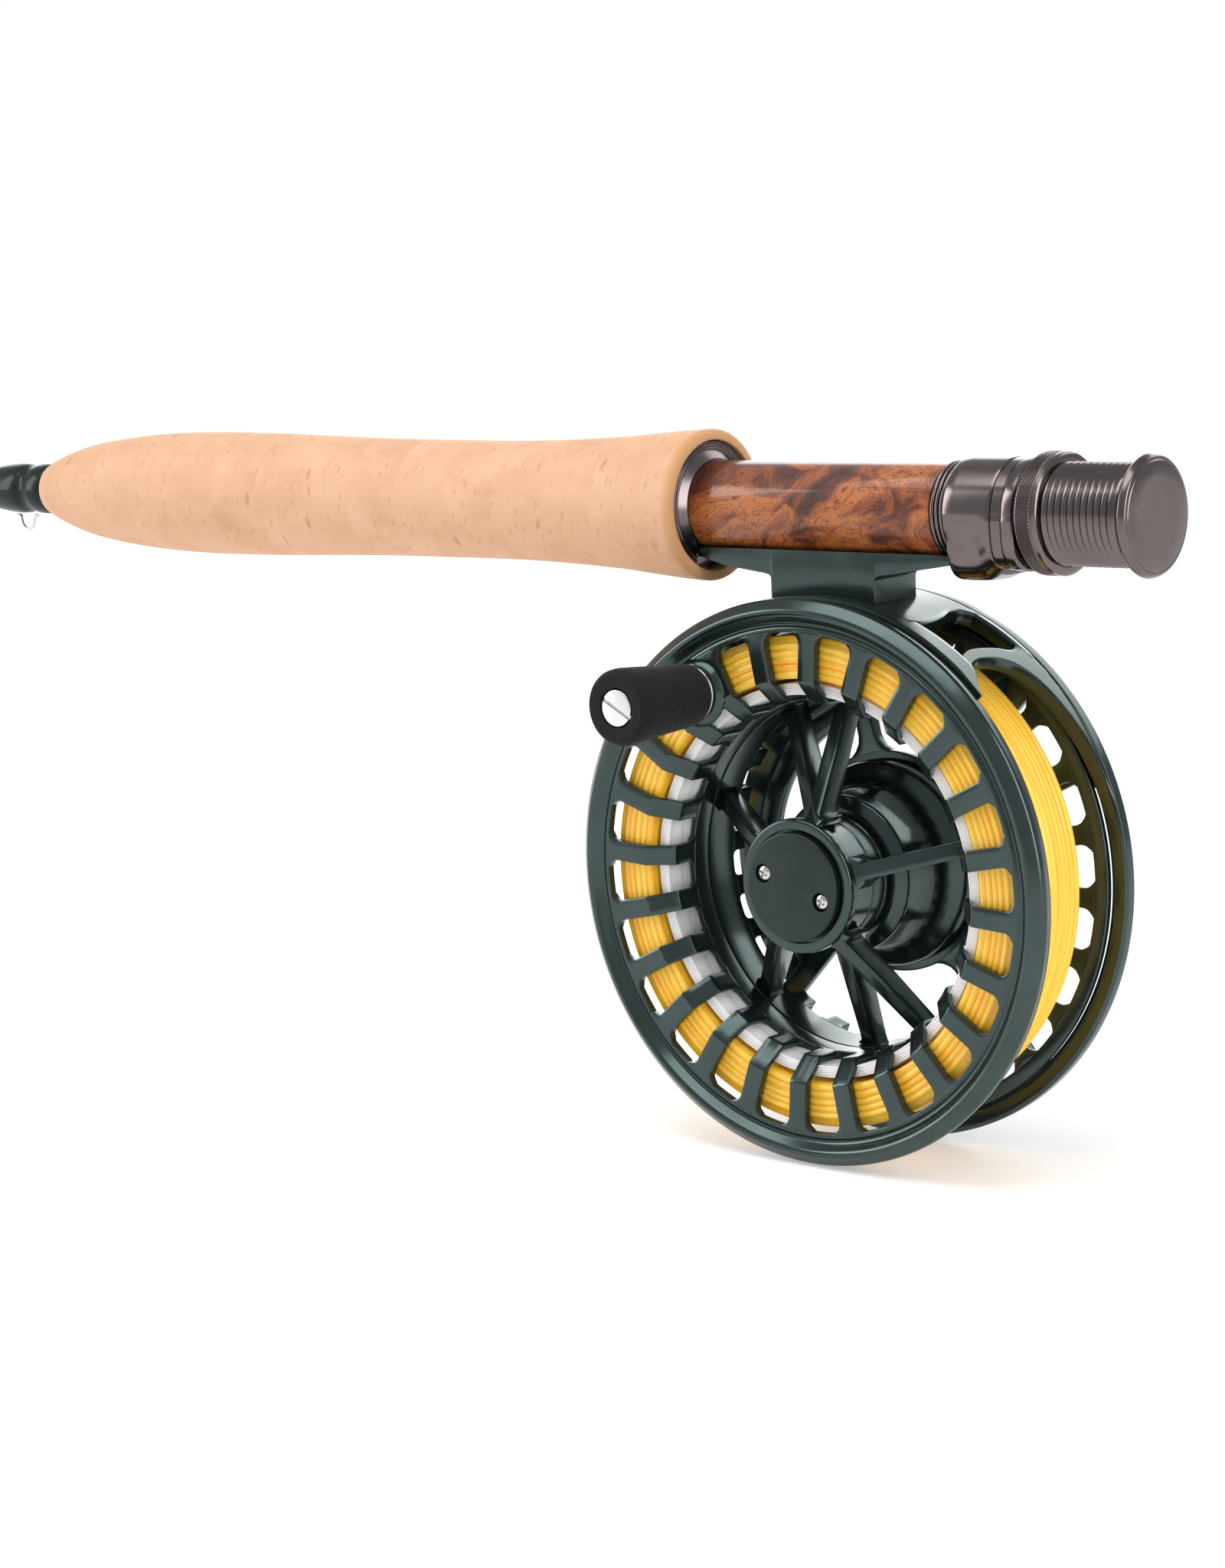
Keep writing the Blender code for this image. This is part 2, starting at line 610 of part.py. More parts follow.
# ---------------------------------------------------------------- reel foot
def foot_half_width(x):
    """Narrow, rounded tips that run in under the two hoods."""
    t = abs(x) / FOOT_HALF_LENGTH
    if t < 0.62:
        return FOOT_HALF_WIDTH
    return FOOT_HALF_WIDTH * math.sqrt(max(1 - ((t - 0.62) / 0.40) ** 2, 0.0))


def foot_bottom(x):
    t = max(abs(x) - STEM_HALF_LENGTH, 0) / (FOOT_HALF_LENGTH - STEM_HALF_LENGTH)
    return FOOT_TOP - mix(FOOT_THICKNESS, FOOT_TIP_THICKNESS, t ** 0.9)


def make_foot(mat):
    """Saddle plate with a stem that stands on the frame."""
    seat = FRAME_RADIUS + FIT
    xs = [FOOT_HALF_LENGTH * t for t in (-1, -0.96, -0.89, -0.80, -0.71, -0.62)]
    xs += [-STEM_HALF_LENGTH - 0.0016, -STEM_HALF_LENGTH - 0.0005, -STEM_HALF_LENGTH]
    xs += [-STEM_HALF_LENGTH * t for t in (0.66, 0.33, 0.0)]
    stations = [(x, abs(x) <= STEM_HALF_LENGTH) for x in xs]
    stations += [(-x, stem) for x, stem in reversed(stations[:-1])]
    sections = []
    for x, stem in stations:
        half = foot_half_width(x)
        low = foot_bottom(x)
        if abs(abs(x) - STEM_HALF_LENGTH - 0.0005) < 1e-6:
            low -= 0.0006
        if stem:
            low = math.sqrt(seat ** 2 - x ** 2) - REEL_DROP
        crown = FOOT_CROWN * (half / FOOT_HALF_WIDTH) ** 2
        top = [(x, half * s, FOOT_TOP + crown * s * s) for s in (-1, -0.5, 0, 0.5, 1)]
        sections.append(top + [(x, half, low), (x, -half, low)])
    bm = bmesh.new()
    loft(bm, sections)
    axis = empty("foot_axis", (REEL_X, 0, 0))
    foot = add_object("reel_foot", bm, axis, mat)
    bm = bmesh.new()
    for sign in (1, -1):
        outline = []
        for k in range(8):
            a = math.pi / 4 * (k + 0.5)
            grow = FOOT_SCREW_RADIUS + FIT
            outline.append((sign * FOOT_SCREW_SPACING / 2 + grow * math.cos(a), grow * math.sin(a)))
        low = [bm.verts.new((x, y, FOOT_TOP - 0.0120)) for x, y in outline]
        high = [bm.verts.new((x, y, FOOT_TOP - 0.0022)) for x, y in outline]
        bm.faces.new(low)
        bm.faces.new(high)
        for i in range(8):
            j = (i + 1) % 8
            bm.faces.new((low[i], low[j], high[j], high[i]))
    holes = add_object("foot_screw_holes", bm, axis, None, cutter=True)
    boolean(foot, holes)


def z_cylinder(bm, x, profile, sides=12):
    """Turned about a vertical line at x, from (z, radius) points."""
    rings = []
    for z, radius in profile:
        if radius == 0:
            rings.append([bm.verts.new((x, 0, z))])
            continue
        turns = [2 * math.pi * i / sides for i in range(sides)]
        rings.append([bm.verts.new((x + radius * math.sin(a), radius * math.cos(a), z)) for a in turns])
    for first, second in zip(rings, rings[1:]):
        for i in range(sides):
            j = (i + 1) % sides
            if len(first) == 1:
                bm.faces.new((first[0], second[j], second[i]))
            elif len(second) == 1:
                bm.faces.new((first[i], first[j], second[0]))
            else:
                bm.faces.new((first[i], first[j], second[j], second[i]))


def make_foot_screws(steel, reel):
    inside = FRAME_RADIUS - FRAME_WALL - 0.0010
    for number, sign in enumerate((1, -1), start=1):
        bm = bmesh.new()
        end = REEL_DROP + FOOT_TOP - 0.0027
        profile = [(end, 0), (end, FOOT_SCREW_RADIUS)]
        profile += [(inside, FOOT_SCREW_RADIUS), (inside, FOOT_SCREW_HEAD), (inside - 0.0009, FOOT_SCREW_HEAD)]
        profile += [(inside - 0.0013, FOOT_SCREW_HEAD - 0.0006), (inside - 0.0013, 0)]
        z_cylinder(bm, sign * FOOT_SCREW_SPACING / 2, profile)
        add_object(f"foot_screw_{number}", bm, reel, steel)


# ---------------------------------------------------------------- frame
def opening_high(angle):
    """Rear edge of the big side opening, swept up into the post."""
    t = (angle - POST_ANGLES[1]) / math.radians(20)
    return mix(0.0030, FRAME_REAR_Y - REAR_BAND, smooth(t) ** 0.6 if t < 1 else 1)


def opening_low(angle):
    """Front edge of the opening, which tapers the front band away past the post."""
    t = (angle - POST_ANGLES[1]) / (FRONT_BAND_END - POST_ANGLES[1])
    return mix(FRAME_FRONT_Y + FRONT_BAND, FRAME_FRONT_Y - 0.001, min(t, 1))


def sector(inner, outer, first, last, steps=5):
    """(x, z) outline of a ring sector about the spindle."""
    outline = []
    for radius, angles in ((outer, (first, last)), (inner, (last, first))):
        for i in range(steps + 1):
            a = mix(angles[0], angles[1], i / steps)
            outline.append((radius * math.sin(a), radius * math.cos(a)))
    return outline


def turned_outline(points, angle):
    """Turns an (across, out) outline to lie at an angle about the spindle."""
    s, c = math.sin(angle), math.cos(angle)
    return [(out * s + across * c, out * c - across * s) for across, out in points]


def port_outline(angle):
    low, high = PORT_RADII
    half = PORT_WIDTH / 2
    cut = 0.0016
    points = [(-half, low + cut), (-half, high - cut), (-half + cut, high), (half - cut, high)]
    points += [(half, high - cut), (half, low + cut), (half - cut, low), (-half + cut, low)]
    return turned_outline(points, angle)


def make_frame(mat, reel):
    """One-piece cage: back plate, rear band, top plate, two posts and a front band."""
    inner = FRAME_RADIUS - FRAME_WALL
    plate = FRAME_REAR_Y - BACK_PLATE
    profile = [(plate, SHAFT_HOLE), (FRAME_REAR_Y, SHAFT_HOLE), (FRAME_REAR_Y, FRAME_RADIUS - 0.0008)]
    profile += [(FRAME_REAR_Y - 0.0008, FRAME_RADIUS), (FRAME_FRONT_Y, FRAME_RADIUS)]
    profile += [(FRAME_FRONT_Y, inner), (plate, inner)]
    frame = turned("reel_frame", profile, mat, reel, axis="Y", sides=REEL_SIDES, closed=True)

    bm = bmesh.new()
    start = POST_ANGLES[1]
    ramp = [start + math.radians(d) for d in (0, 2.75, 5.5, 10, 15, 20)]
    turn = 2 * math.pi
    middle = [mix(ramp[-1], turn - ramp[-1], i / 32) for i in range(1, 32)]
    angles = ramp + middle + [turn - a for a in reversed(ramp)]
    folded = [min(a, turn - a) for a in angles]
    lows = [opening_low(a) for a in folded]
    highs = [opening_high(a) for a in folded]
    band(bm, angles, lows, highs, inner - 0.002, FRAME_RADIUS + 0.002)
    for sign in (1, -1):
        span = [sign * mix(PLATE_HALF_ANGLE, POST_ANGLES[0], i / 4) for i in range(5)]
        low = FRAME_FRONT_Y + FRONT_BAND
        high = FRAME_REAR_Y - REAR_BAND
        lows = [low + 0.0012, low, low, low, low + 0.0012]
        highs = [high - 0.0012, high, high, high, high - 0.0012]
        band(bm, span, lows, highs, inner - 0.002, FRAME_RADIUS + 0.002)
    sides = add_object("frame_side_openings", bm, reel, None, cutter=True)
    boolean(frame, sides)

    bm = bmesh.new()
    near, far = plate - 0.001, FRAME_REAR_Y + 0.001
    for k in range(24):
        prism(bm, port_outline(FIRST_SLOT + k * PITCH), near, far)
    angles = [math.radians(a) for a in ARM_ANGLES] + [math.radians(ARM_ANGLES[0] + 360)]
    for number, (first, last) in enumerate(zip(angles, angles[1:])):
        spans = [(HUB_DISC_RADIUS, WINDOW_RADIUS)]
        if number == len(ARM_ANGLES) - 1:
            spans = [(HUB_DISC_RADIUS, BRIDGE_RADII[0]), (BRIDGE_RADII[1], WINDOW_RADIUS)]
        for low, high in spans:
            trim = ARM_WIDTH / 2 / ((low + high) / 2)
            prism(bm, sector(low, high, first + trim, last - trim, 7), near, far)
    ports = add_object("back_plate_openings", bm, reel, None, cutter=True)
    boolean(frame, ports)

    bm = bmesh.new()
    grow = FOOT_SCREW_RADIUS + FIT
    column = [(inner - 0.004, 0), (inner - 0.004, grow), (FRAME_RADIUS + 0.003, grow), (FRAME_RADIUS + 0.003, 0)]
    for sign in (1, -1):
        z_cylinder(bm, sign * FOOT_SCREW_SPACING / 2, column, 8)
    holes = add_object("frame_screw_holes", bm, reel, None, cutter=True)
    boolean(frame, holes)


# ---------------------------------------------------------------- spool
def slot_outline(angle, inner, outer):
    """A slot that leaves a bar of even width on both sides."""
    def half(radius):
        return radius * math.tan(PITCH / 2) - BAR_WIDTH / 2
    low, high = half(inner), half(outer)
    cut = SLOT_CORNER
    points = [(-low, inner), (-half(outer - cut), outer - cut), (-high + cut, outer)]
    points += [(high - cut, outer), (half(outer - cut), outer - cut), (low, inner)]
    return turned_outline(points, angle)


def make_spool(mat, reel):
    front = FLANGE_FRONT_Y
    back = front + FLANGE_THICKNESS
    bevel = BEVEL_RADIUS - ARBOR_RADIUS
    wall = ARBOR_RADIUS + ARBOR_WALL
    rear = REAR_FLANGE_Y + 0.0016
    profile = [(front + 0.0008, SPOOL_RADIUS), (front + 0.0001, SPOOL_RADIUS), (front - RIM_HEIGHT, RIM_CREST_RADIUS)]
    profile += [(front - RIM_HEIGHT + 0.0002, RIM_CREST_RADIUS - 0.0010), (front, RIM_INNER_RADIUS)]
    profile += [(front, BEVEL_RADIUS), (front + bevel, ARBOR_RADIUS), (rear, ARBOR_RADIUS)]
    profile += [(rear, REAR_FLANGE_RADIUS), (REAR_FLANGE_Y, REAR_FLANGE_RADIUS), (REAR_FLANGE_Y, wall)]
    profile += [(front + bevel + 0.0005, wall), (back, BEVEL_RADIUS + 0.0010), (back, SPOOL_RADIUS - 0.0030)]
    profile += [(back + SPOOL_SKIRT, SPOOL_RADIUS - 0.0022), (back + SPOOL_SKIRT, SPOOL_RADIUS - 0.0004)]
    spool = turned("spool", profile, mat, reel, axis="Y", sides=REEL_SIDES, closed=True, phase=FIRST_SLOT)

    bm = bmesh.new()
    for k in range(23):
        outline = slot_outline(FIRST_SLOT + k * PITCH, ARBOR_RADIUS - 0.001, SLOT_OUTER_RADIUS)
        prism(bm, outline, front - 0.003, front + SLOT_DEPTH)
    points = [(-0.0024, ARBOR_RADIUS - 0.001), (-0.0027, 0.0345), (-0.0015, 0.0358), (0.0015, 0.0358)]
    points += [(0.0027, 0.0345), (0.0024, ARBOR_RADIUS - 0.001)]
    prism(bm, turned_outline(points, HANDLE_ANGLE), front - 0.003, front + SLOT_DEPTH - 0.002)
    for k in range(24):
        side = NOTCH_WIDTH / 2
        points = [(-side, ARBOR_RADIUS - 0.001), (-side, REAR_SLOT_RADIUS)]
        points += [(side, REAR_SLOT_RADIUS), (side, ARBOR_RADIUS - 0.001)]
        outline = turned_outline(points, FIRST_SLOT + k * PITCH)
        prism(bm, outline, rear - NOTCH_DEPTH, rear + 0.002)
    slots = add_object("spool_slots", bm, reel, None, cutter=True)
    boolean(spool, slots)

    for number, (hub_angle, wall_angle) in enumerate(SPOKES):
        bm = bmesh.new()
        start, end = math.radians(hub_angle), math.radians(wall_angle)
        inner = Vector(axis_point("Y", 0, HUB_BARREL_RADIUS - 0.0002, start))
        outer = Vector(axis_point("Y", 0, ARBOR_RADIUS + ARBOR_WALL / 2, end))
        side = Vector((0, 1, 0)).cross(outer - inner).normalized() * (SPOKE_WIDTH / 2)
        sections = []
        for point, y, depth in ((inner, HUB_FRONT_Y + 0.0006, SPOKE_HUB_DEPTH), (outer, SPOKE_WALL_Y, SPOKE_WALL_DEPTH)):
            near, far = Vector((0, y, 0)), Vector((0, y + depth, 0))
            sections.append([point - side + near, point + side + near, point + side + far, point - side + far])
        loft(bm, sections)
        spoke = add_object(f"spoke_{number}", bm, reel, None, cutter=True)
        boolean(spool, spoke, "UNION")

    bm = bmesh.new()
    seat = HUB_FRONT_Y + 0.0010
    profile = [(HUB_FRONT_Y, HUB_CAP_RADIUS + FIT), (HUB_FRONT_Y, HUB_RING_RADIUS), (-0.0138, HUB_RING_RADIUS)]
    profile += [(-0.0134, HUB_BARREL_RADIUS), (HUB_REAR_Y, HUB_BARREL_RADIUS), (HUB_REAR_Y, HUB_BORE)]
    profile += [(seat, HUB_BORE), (seat, HUB_CAP_RADIUS + FIT)]
    lathe(bm, profile, axis="Y", sides=24, closed=True)
    hub = add_object("spool_hub", bm, reel, None, cutter=True)
    boolean(spool, hub, "UNION")

    bm = bmesh.new()
    centre = axis_point("Y", 0, HANDLE_RADIUS, HANDLE_ANGLE)
    profile = [(front + 0.0005, 0), (front + 0.0005, HANDLE_BOSS_RADIUS), (front - HANDLE_BOSS_HEIGHT, HANDLE_BOSS_RADIUS)]
    profile.append((front - HANDLE_BOSS_HEIGHT, 0))
    lathe(bm, profile, axis="Y", sides=16, offset=centre)
    boss = add_object("handle_boss", bm, reel, None, cutter=True)
    boolean(spool, boss, "UNION")

    bm = bmesh.new()
    hole = HANDLE_POST_RADIUS + FIT
    lathe(bm, [(-0.03, 0), (-0.03, hole), (0.0, hole), (0.0, 0)], axis="Y", sides=12, offset=centre)
    clear = HUB_BORE
    lathe(bm, [(seat + 0.0002, 0), (seat + 0.0002, clear), (0.004, clear), (0.004, 0)], axis="Y", sides=24)
    bore = add_object("spool_bores", bm, reel, None, cutter=True)
    boolean(spool, bore)


def make_windings(line_mat, backing_mat, reel):
    """Fly line over backing, each as the outer shape of its turns."""
    front = FLANGE_FRONT_Y + FLANGE_THICKNESS + FIT
    rear = REAR_FLANGE_Y - FIT
    base = ARBOR_RADIUS + ARBOR_WALL + FIT
    step = FLANGE_FRONT_Y + BEVEL_RADIUS - ARBOR_RADIUS + 0.0009
    profile = [(step, base), (rear, base), (rear, BACKING_RADIUS), (front + 0.0016, BACKING_RADIUS)]
    turned("backing_winding", profile, backing_mat, reel, axis="Y", sides=REEL_SIDES, closed=True)
    low = BACKING_RADIUS + FIT
    start = max(low, BEVEL_RADIUS + 0.0013)
    profile = [(front + 0.0016, low), (rear, low), (rear, LINE_RADIUS - 0.0004), (rear - 0.0012, LINE_RADIUS)]
    profile += [(front + 0.0012, LINE_RADIUS), (front, LINE_RADIUS - 0.0004), (front, start)]
    turned("fly_line_winding", profile, line_mat, reel, axis="Y", sides=REEL_SIDES, closed=True)


def make_hub_cap(mat, steel, reel):
    face = HUB_FRONT_Y + 0.0010 - FIT - HUB_CAP_THICKNESS
    back = face + HUB_CAP_THICKNESS
    profile = [(back, 0), (back, HUB_CAP_RADIUS), (face + 0.0003, HUB_CAP_RADIUS), (face, HUB_CAP_RADIUS - 0.0003)]
    profile.append((face, 0))
    cap = turned("hub_cap", profile, mat, reel, axis="Y", sides=SEAT_SIDES)
    holes = bmesh.new()
    for number, angle in enumerate((math.radians(-72), math.radians(108)), start=1):
        centre = axis_point("Y", 0, CAP_SCREW_OFFSET, angle)
        wide = CAP_SCREW_RADIUS + FIT
        lathe(holes, [(face - 0.001, 0), (face - 0.001, wide), (face + 0.0012, wide), (face + 0.0012, 0)],
              axis="Y", sides=12, offset=centre)
        bm = bmesh.new()
        low = face + 0.0001
        profile = [(low, 0), (low, CAP_SCREW_RADIUS - 0.0004), (low + 0.0003, CAP_SCREW_RADIUS)]
        profile += [(face + 0.0009, CAP_SCREW_RADIUS), (face + 0.0009, 0)]
        lathe(bm, profile, axis="Y", sides=12, offset=centre)
        add_object(f"hub_cap_screw_{number}", bm, reel, steel)
    cutter = add_object("hub_cap_holes", holes, reel, None, cutter=True)
    boolean(cap, cutter)


# ---------------------------------------------------------------- drag
def make_drag(mats, reel):
    plate = FRAME_REAR_Y - BACK_PLATE - FIT
    front = HOUSING_FRONT_Y
    cavity = HOUSING_RADIUS - HOUSING_WALL
    floor = front + 0.0022
    shaft = SPINDLE_RADIUS + FIT
    profile = [(front, shaft), (front, HOUSING_RADIUS - 0.0012), (front + 0.0014, HOUSING_RADIUS + 0.0006)]
    profile += [(front + 0.0020, HOUSING_RADIUS), (0.0050, HOUSING_RADIUS), (0.0080, HOUSING_RADIUS + 0.0014)]
    profile += [(0.0098, HOUSING_FLARE_RADIUS), (plate, HOUSING_FLARE_RADIUS), (plate, cavity)]
    profile += [(floor, cavity), (floor, shaft)]
    turned("drag_housing", profile, mats["anodised"], reel, axis="Y", sides=SEAT_SIDES, closed=True)

    hub_floor = HUB_FRONT_Y + 0.0010
    tip = hub_floor + 0.0006
    y = floor + FIT
    profile = [(tip, 0), (tip, SPINDLE_RADIUS - 0.0004), (tip + 0.0004, SPINDLE_RADIUS), (y, SPINDLE_RADIUS)]
    profile += [(y, 0.0048), (y + 0.0012, 0.0048), (y + 0.0012, SPINDLE_RADIUS), (0.0070, SPINDLE_RADIUS)]
    profile.append((0.0070, 0))
    turned("spindle", profile, mats["steel"], reel, axis="Y", sides=16)

    y += 0.0012 + FIT
    bore = SPINDLE_RADIUS + FIT
    names = ("carbon_drag_disc", "steel_drag_disc", "pressure_plate")
    for name, thick, mat in zip(names, DISC_THICKNESSES, ("carbon", "steel", "steel")):
        profile = [(y, bore), (y, DISC_RADIUS), (y + thick, DISC_RADIUS), (y + thick, bore)]
        turned(name, profile, mats[mat], reel, axis="Y", sides=24, closed=True)
        y += thick + FIT
    profile = [(y, bore), (y + 0.0014, DISC_RADIUS - 0.002), (y + 0.0020, DISC_RADIUS - 0.002), (y + 0.0006, bore)]
    turned("drag_spring_washer", profile, mats["steel"], reel, axis="Y", sides=24, closed=True)
    y += 0.0020 + FIT

    rim = plate + BACK_PLATE + FIT
    knob = FRAME_REAR_Y + FIT
    end = knob + DRAG_KNOB_LENGTH
    profile = [(y, 0), (y, DISC_RADIUS - 0.0022), (y + 0.0008, DISC_RADIUS - 0.0022), (y + 0.0008, DRAG_SHAFT_RADIUS)]
    profile += [(rim + FIT, DRAG_SHAFT_RADIUS), (rim + FIT, DRAG_KNOB_RADIUS), (end - 0.0012, DRAG_KNOB_RADIUS)]
    profile += [(end, DRAG_KNOB_RADIUS - 0.0012), (end, 0)]
    turned("drag_knob", profile, mats["anodised"], reel, axis="Y", sides=SEAT_SIDES)

    low = plate - 0.0016
    profile = [(low, DRAG_SHAFT_RADIUS + FIT), (low, cavity - FIT), (plate, cavity - FIT)]
    profile.append((plate, DRAG_SHAFT_RADIUS + FIT))
    turned("drag_seal", profile, mats["rubber"], reel, axis="Y", sides=24, closed=True)

    y = tip + 0.0010
    race = HUB_BORE - FIT
    for name, length, mat in (("front_bearing", BEARING_WIDTH, "steel"), ("one_way_clutch", CLUTCH_LENGTH, "steel"),
                              ("rear_bearing", BEARING_WIDTH - 0.0008, "steel")):
        profile = [(y, bore), (y, race), (y + length, race), (y + length, bore)]
        turned(name, profile, mats[mat], reel, axis="Y", sides=24, closed=True)
        y += length + FIT


# ---------------------------------------------------------------- handle
def make_handle(mats, reel):
    centre = axis_point("Y", 0, HANDLE_RADIUS, HANDLE_ANGLE)
    axis = empty("handle_axis", centre)
    axis.parent = reel
    base = FLANGE_FRONT_Y - HANDLE_BOSS_HEIGHT - FIT
    washer = base - WASHER_THICKNESS
    hole = HANDLE_POST_RADIUS + FIT
    profile = [(base, hole), (base, KNOB_BASE_RADIUS - 0.0006), (washer, KNOB_BASE_RADIUS - 0.0006), (washer, hole)]
    turned("handle_washer", profile, mats["steel"], axis, axis="Y", sides=20, closed=True)

    low = washer - FIT
    end = low - KNOB_LENGTH
    bore = KNOB_BORE
    recess = HANDLE_HEAD_RADIUS + FIT
    profile = [(low, bore), (low, KNOB_BASE_RADIUS - 0.0012), (low - 0.0012, KNOB_BASE_RADIUS)]
    profile += [(low - 0.0060, KNOB_BASE_RADIUS + 0.0008), (end + 0.0030, KNOB_END_RADIUS)]
    profile += [(end + 0.0010, KNOB_END_RADIUS - 0.0004), (end, KNOB_END_RADIUS - 0.0016), (end, recess)]
    profile += [(end + 0.0012, recess), (end + 0.0012, bore)]
    turned("handle_knob", profile, mats["foam"], axis, axis="Y", sides=28, closed=True)

    head = end + 0.0002
    tail = FLANGE_FRONT_Y + FLANGE_THICKNESS - 0.0003
    profile = [(head, 0), (head, HANDLE_HEAD_RADIUS), (head + 0.0007, HANDLE_HEAD_RADIUS)]
    profile += [(head + 0.0007, HANDLE_POST_RADIUS), (tail, HANDLE_POST_RADIUS), (tail, 0)]
    turned("handle_screw", profile, mats["bright"], axis, axis="Y", sides=20)


# ---------------------------------------------------------------- whole object
def main():
    clear_scene()
    mats = {
        "blank": material("blank_varnish", (0.016, 0.034, 0.028), 0.18, 0.0),
        "thread": material("thread_varnish", (0.010, 0.020, 0.017), 0.10, 0.0),
        "cork": material("cork", (0.80, 0.54, 0.34), 0.75, 0.0),
        "wood": material("burl_wood", (0.42, 0.17, 0.06), 0.18, 0.0),
        "gunmetal": material("gunmetal", (0.24, 0.21, 0.21), 0.25, 0.9),
        "anodised": material("green_anodised", (0.060, 0.085, 0.082), 0.30, 0.8),
        "steel": material("stainless_steel", (0.62, 0.61, 0.58), 0.25, 1.0),
        "bright": material("bright_aluminium", (0.82, 0.82, 0.82), 0.30, 1.0),
        "carbon": material("carbon_disc", (0.02, 0.02, 0.02), 0.60, 0.0),
        "rubber": material("seal_rubber", (0.02, 0.02, 0.02), 0.80, 0.0),
        "foam": material("handle_foam", (0.018, 0.017, 0.017), 0.85, 0.0),
        "line": material("yellow_fly_line", (0.90, 0.50, 0.06), 0.35, 0.0),
        "backing": material("white_backing", (0.82, 0.81, 0.80), 0.60, 0.0),
        "ceramic": material("guide_ceramic", (0.05, 0.05, 0.06), 0.12, 0.0),
    }

    for index in range(SECTIONS):
        make_blank(index, mats["blank"])
    for index in range(1, SECTIONS):
        make_ferrule_wrap(index, mats["thread"])
    make_grip_winding(mats["thread"])
    make_hook_keeper(mats["steel"])
    make_stripping_guide(mats["gunmetal"], mats["ceramic"])
    for number, distance in enumerate(GUIDES_FROM_TIP, start=1):
        make_snake_guide(number, TIP_X + distance, mats["steel"])
    make_tip_top(mats["steel"])

    make_grip(mats["cork"])
    make_seat(mats["gunmetal"], mats["wood"])
    make_hood(mats["gunmetal"])
    make_lock_ring(mats["gunmetal"])
    make_foot(mats["anodised"])

    reel = empty("reel_axis", REEL_CENTRE)
    make_frame(mats["anodised"], reel)
    make_foot_screws(mats["steel"], reel)
    make_drag(mats, reel)
    make_spool(mats["anodised"], reel)
    make_windings(mats["line"], mats["backing"], reel)
    make_hub_cap(mats["anodised"], mats["steel"], reel)
    make_handle(mats, reel)


main()
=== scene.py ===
"""Look of a fly rod and reel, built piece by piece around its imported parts."""

import math

import bpy
import numpy as np
from mathutils import Matrix, Vector


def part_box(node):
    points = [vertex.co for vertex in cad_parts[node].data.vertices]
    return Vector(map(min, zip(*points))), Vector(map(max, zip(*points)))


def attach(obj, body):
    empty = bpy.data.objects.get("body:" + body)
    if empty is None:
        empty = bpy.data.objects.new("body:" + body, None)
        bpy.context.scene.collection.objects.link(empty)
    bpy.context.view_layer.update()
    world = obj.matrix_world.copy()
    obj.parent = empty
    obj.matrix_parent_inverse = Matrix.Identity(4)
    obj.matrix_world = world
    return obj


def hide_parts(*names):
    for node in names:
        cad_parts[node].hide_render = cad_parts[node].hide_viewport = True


bl_info = {
    "name": "Fly Rod and Reel",
    "version": (1, 0, 0),
    "blender": (4, 5, 0),
    "location": "View3D > Sidebar > Rod",
    "description": "Models the pieces of a fly rod and reel and gives them their finishes",
    "category": "Add Mesh",
}

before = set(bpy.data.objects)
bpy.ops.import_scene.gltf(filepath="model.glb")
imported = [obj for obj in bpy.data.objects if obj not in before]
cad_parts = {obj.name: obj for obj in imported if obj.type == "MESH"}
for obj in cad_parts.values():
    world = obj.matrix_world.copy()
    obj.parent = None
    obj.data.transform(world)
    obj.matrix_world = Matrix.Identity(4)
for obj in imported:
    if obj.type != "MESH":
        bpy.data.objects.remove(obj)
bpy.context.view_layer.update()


def middle(node):
    low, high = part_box(node)
    return (low + high) / 2


REEL = Vector((middle("fly_line_winding").x, 0, middle("fly_line_winding").z))
KNOB = Vector((middle("handle_knob").x, 0, middle("handle_knob").z))
SPOOL_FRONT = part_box("spool")[0].y
FLANGE_Y = SPOOL_FRONT + 0.0016
GRIP_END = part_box("cork_grip")[1].x
FLOOR_Z = min(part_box("spool")[0].z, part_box("reel_frame")[0].z)
PITCH = math.radians(15)
FIRST_SLOT = math.radians(-19.1)
MM = 0.001


# ------------------------------------------------------------------ sizes and colours
def size(name, value, text):
    return bpy.props.FloatProperty(name=name, default=value, description=text, unit="LENGTH", precision=5)


def colour(name, value, text):
    return bpy.props.FloatVectorProperty(name=name, default=value, description=text, subtype="COLOR",
                                         size=3, min=0, max=1)


class RodSizes(bpy.types.PropertyGroup):
    cork_ring: size("Cork ring", 0.0127, "Length of one cork ring of the grip")
    cork_lip: size("Cork lip", 0.0016, "Rounding of the grip's edge at the seat")
    thread_pitch: size("Thread pitch", 0.00128, "Distance between two ridges of the barrel")
    thread_depth: size("Thread depth", 0.00055, "Depth of the groove between two ridges")
    knurl_depth: size("Knurl depth", 0.00026, "Depth of the lock ring's knurling")
    knurl_count: bpy.props.IntProperty(name="Knurls", default=108, description="Diamonds round the lock ring")
    wire: size("Guide wire", 0.00045, "Radius of the guides' wire")
    wrap: size("Winding", 0.00035, "Thickness of the varnished thread on the guides' feet")


class ReelSizes(bpy.types.PropertyGroup):
    slot_outer: size("Slot end", 0.0450, "Radius where the flange's slots end")
    bar: size("Bar width", 0.0037, "Metal between two slots")
    slot_corner: size("Slot corner", 0.0021, "Rounding of a slot's corners")
    sheet: size("Flange thickness", 0.0017, "Thickness of the spool's front flange")
    fold: size("Fold radius", 0.0362, "Radius where the flange turns into its bevel")
    arbor: size("Arbor radius", 0.0320, "Inner radius of the arbor")
    edge: size("Edge break", 0.00028, "Bevel of the machined edges")
    line: size("Line radius", 0.00068, "Radius of the fly line")
    thread: size("Backing thread", 0.00016, "Radius of the backing")


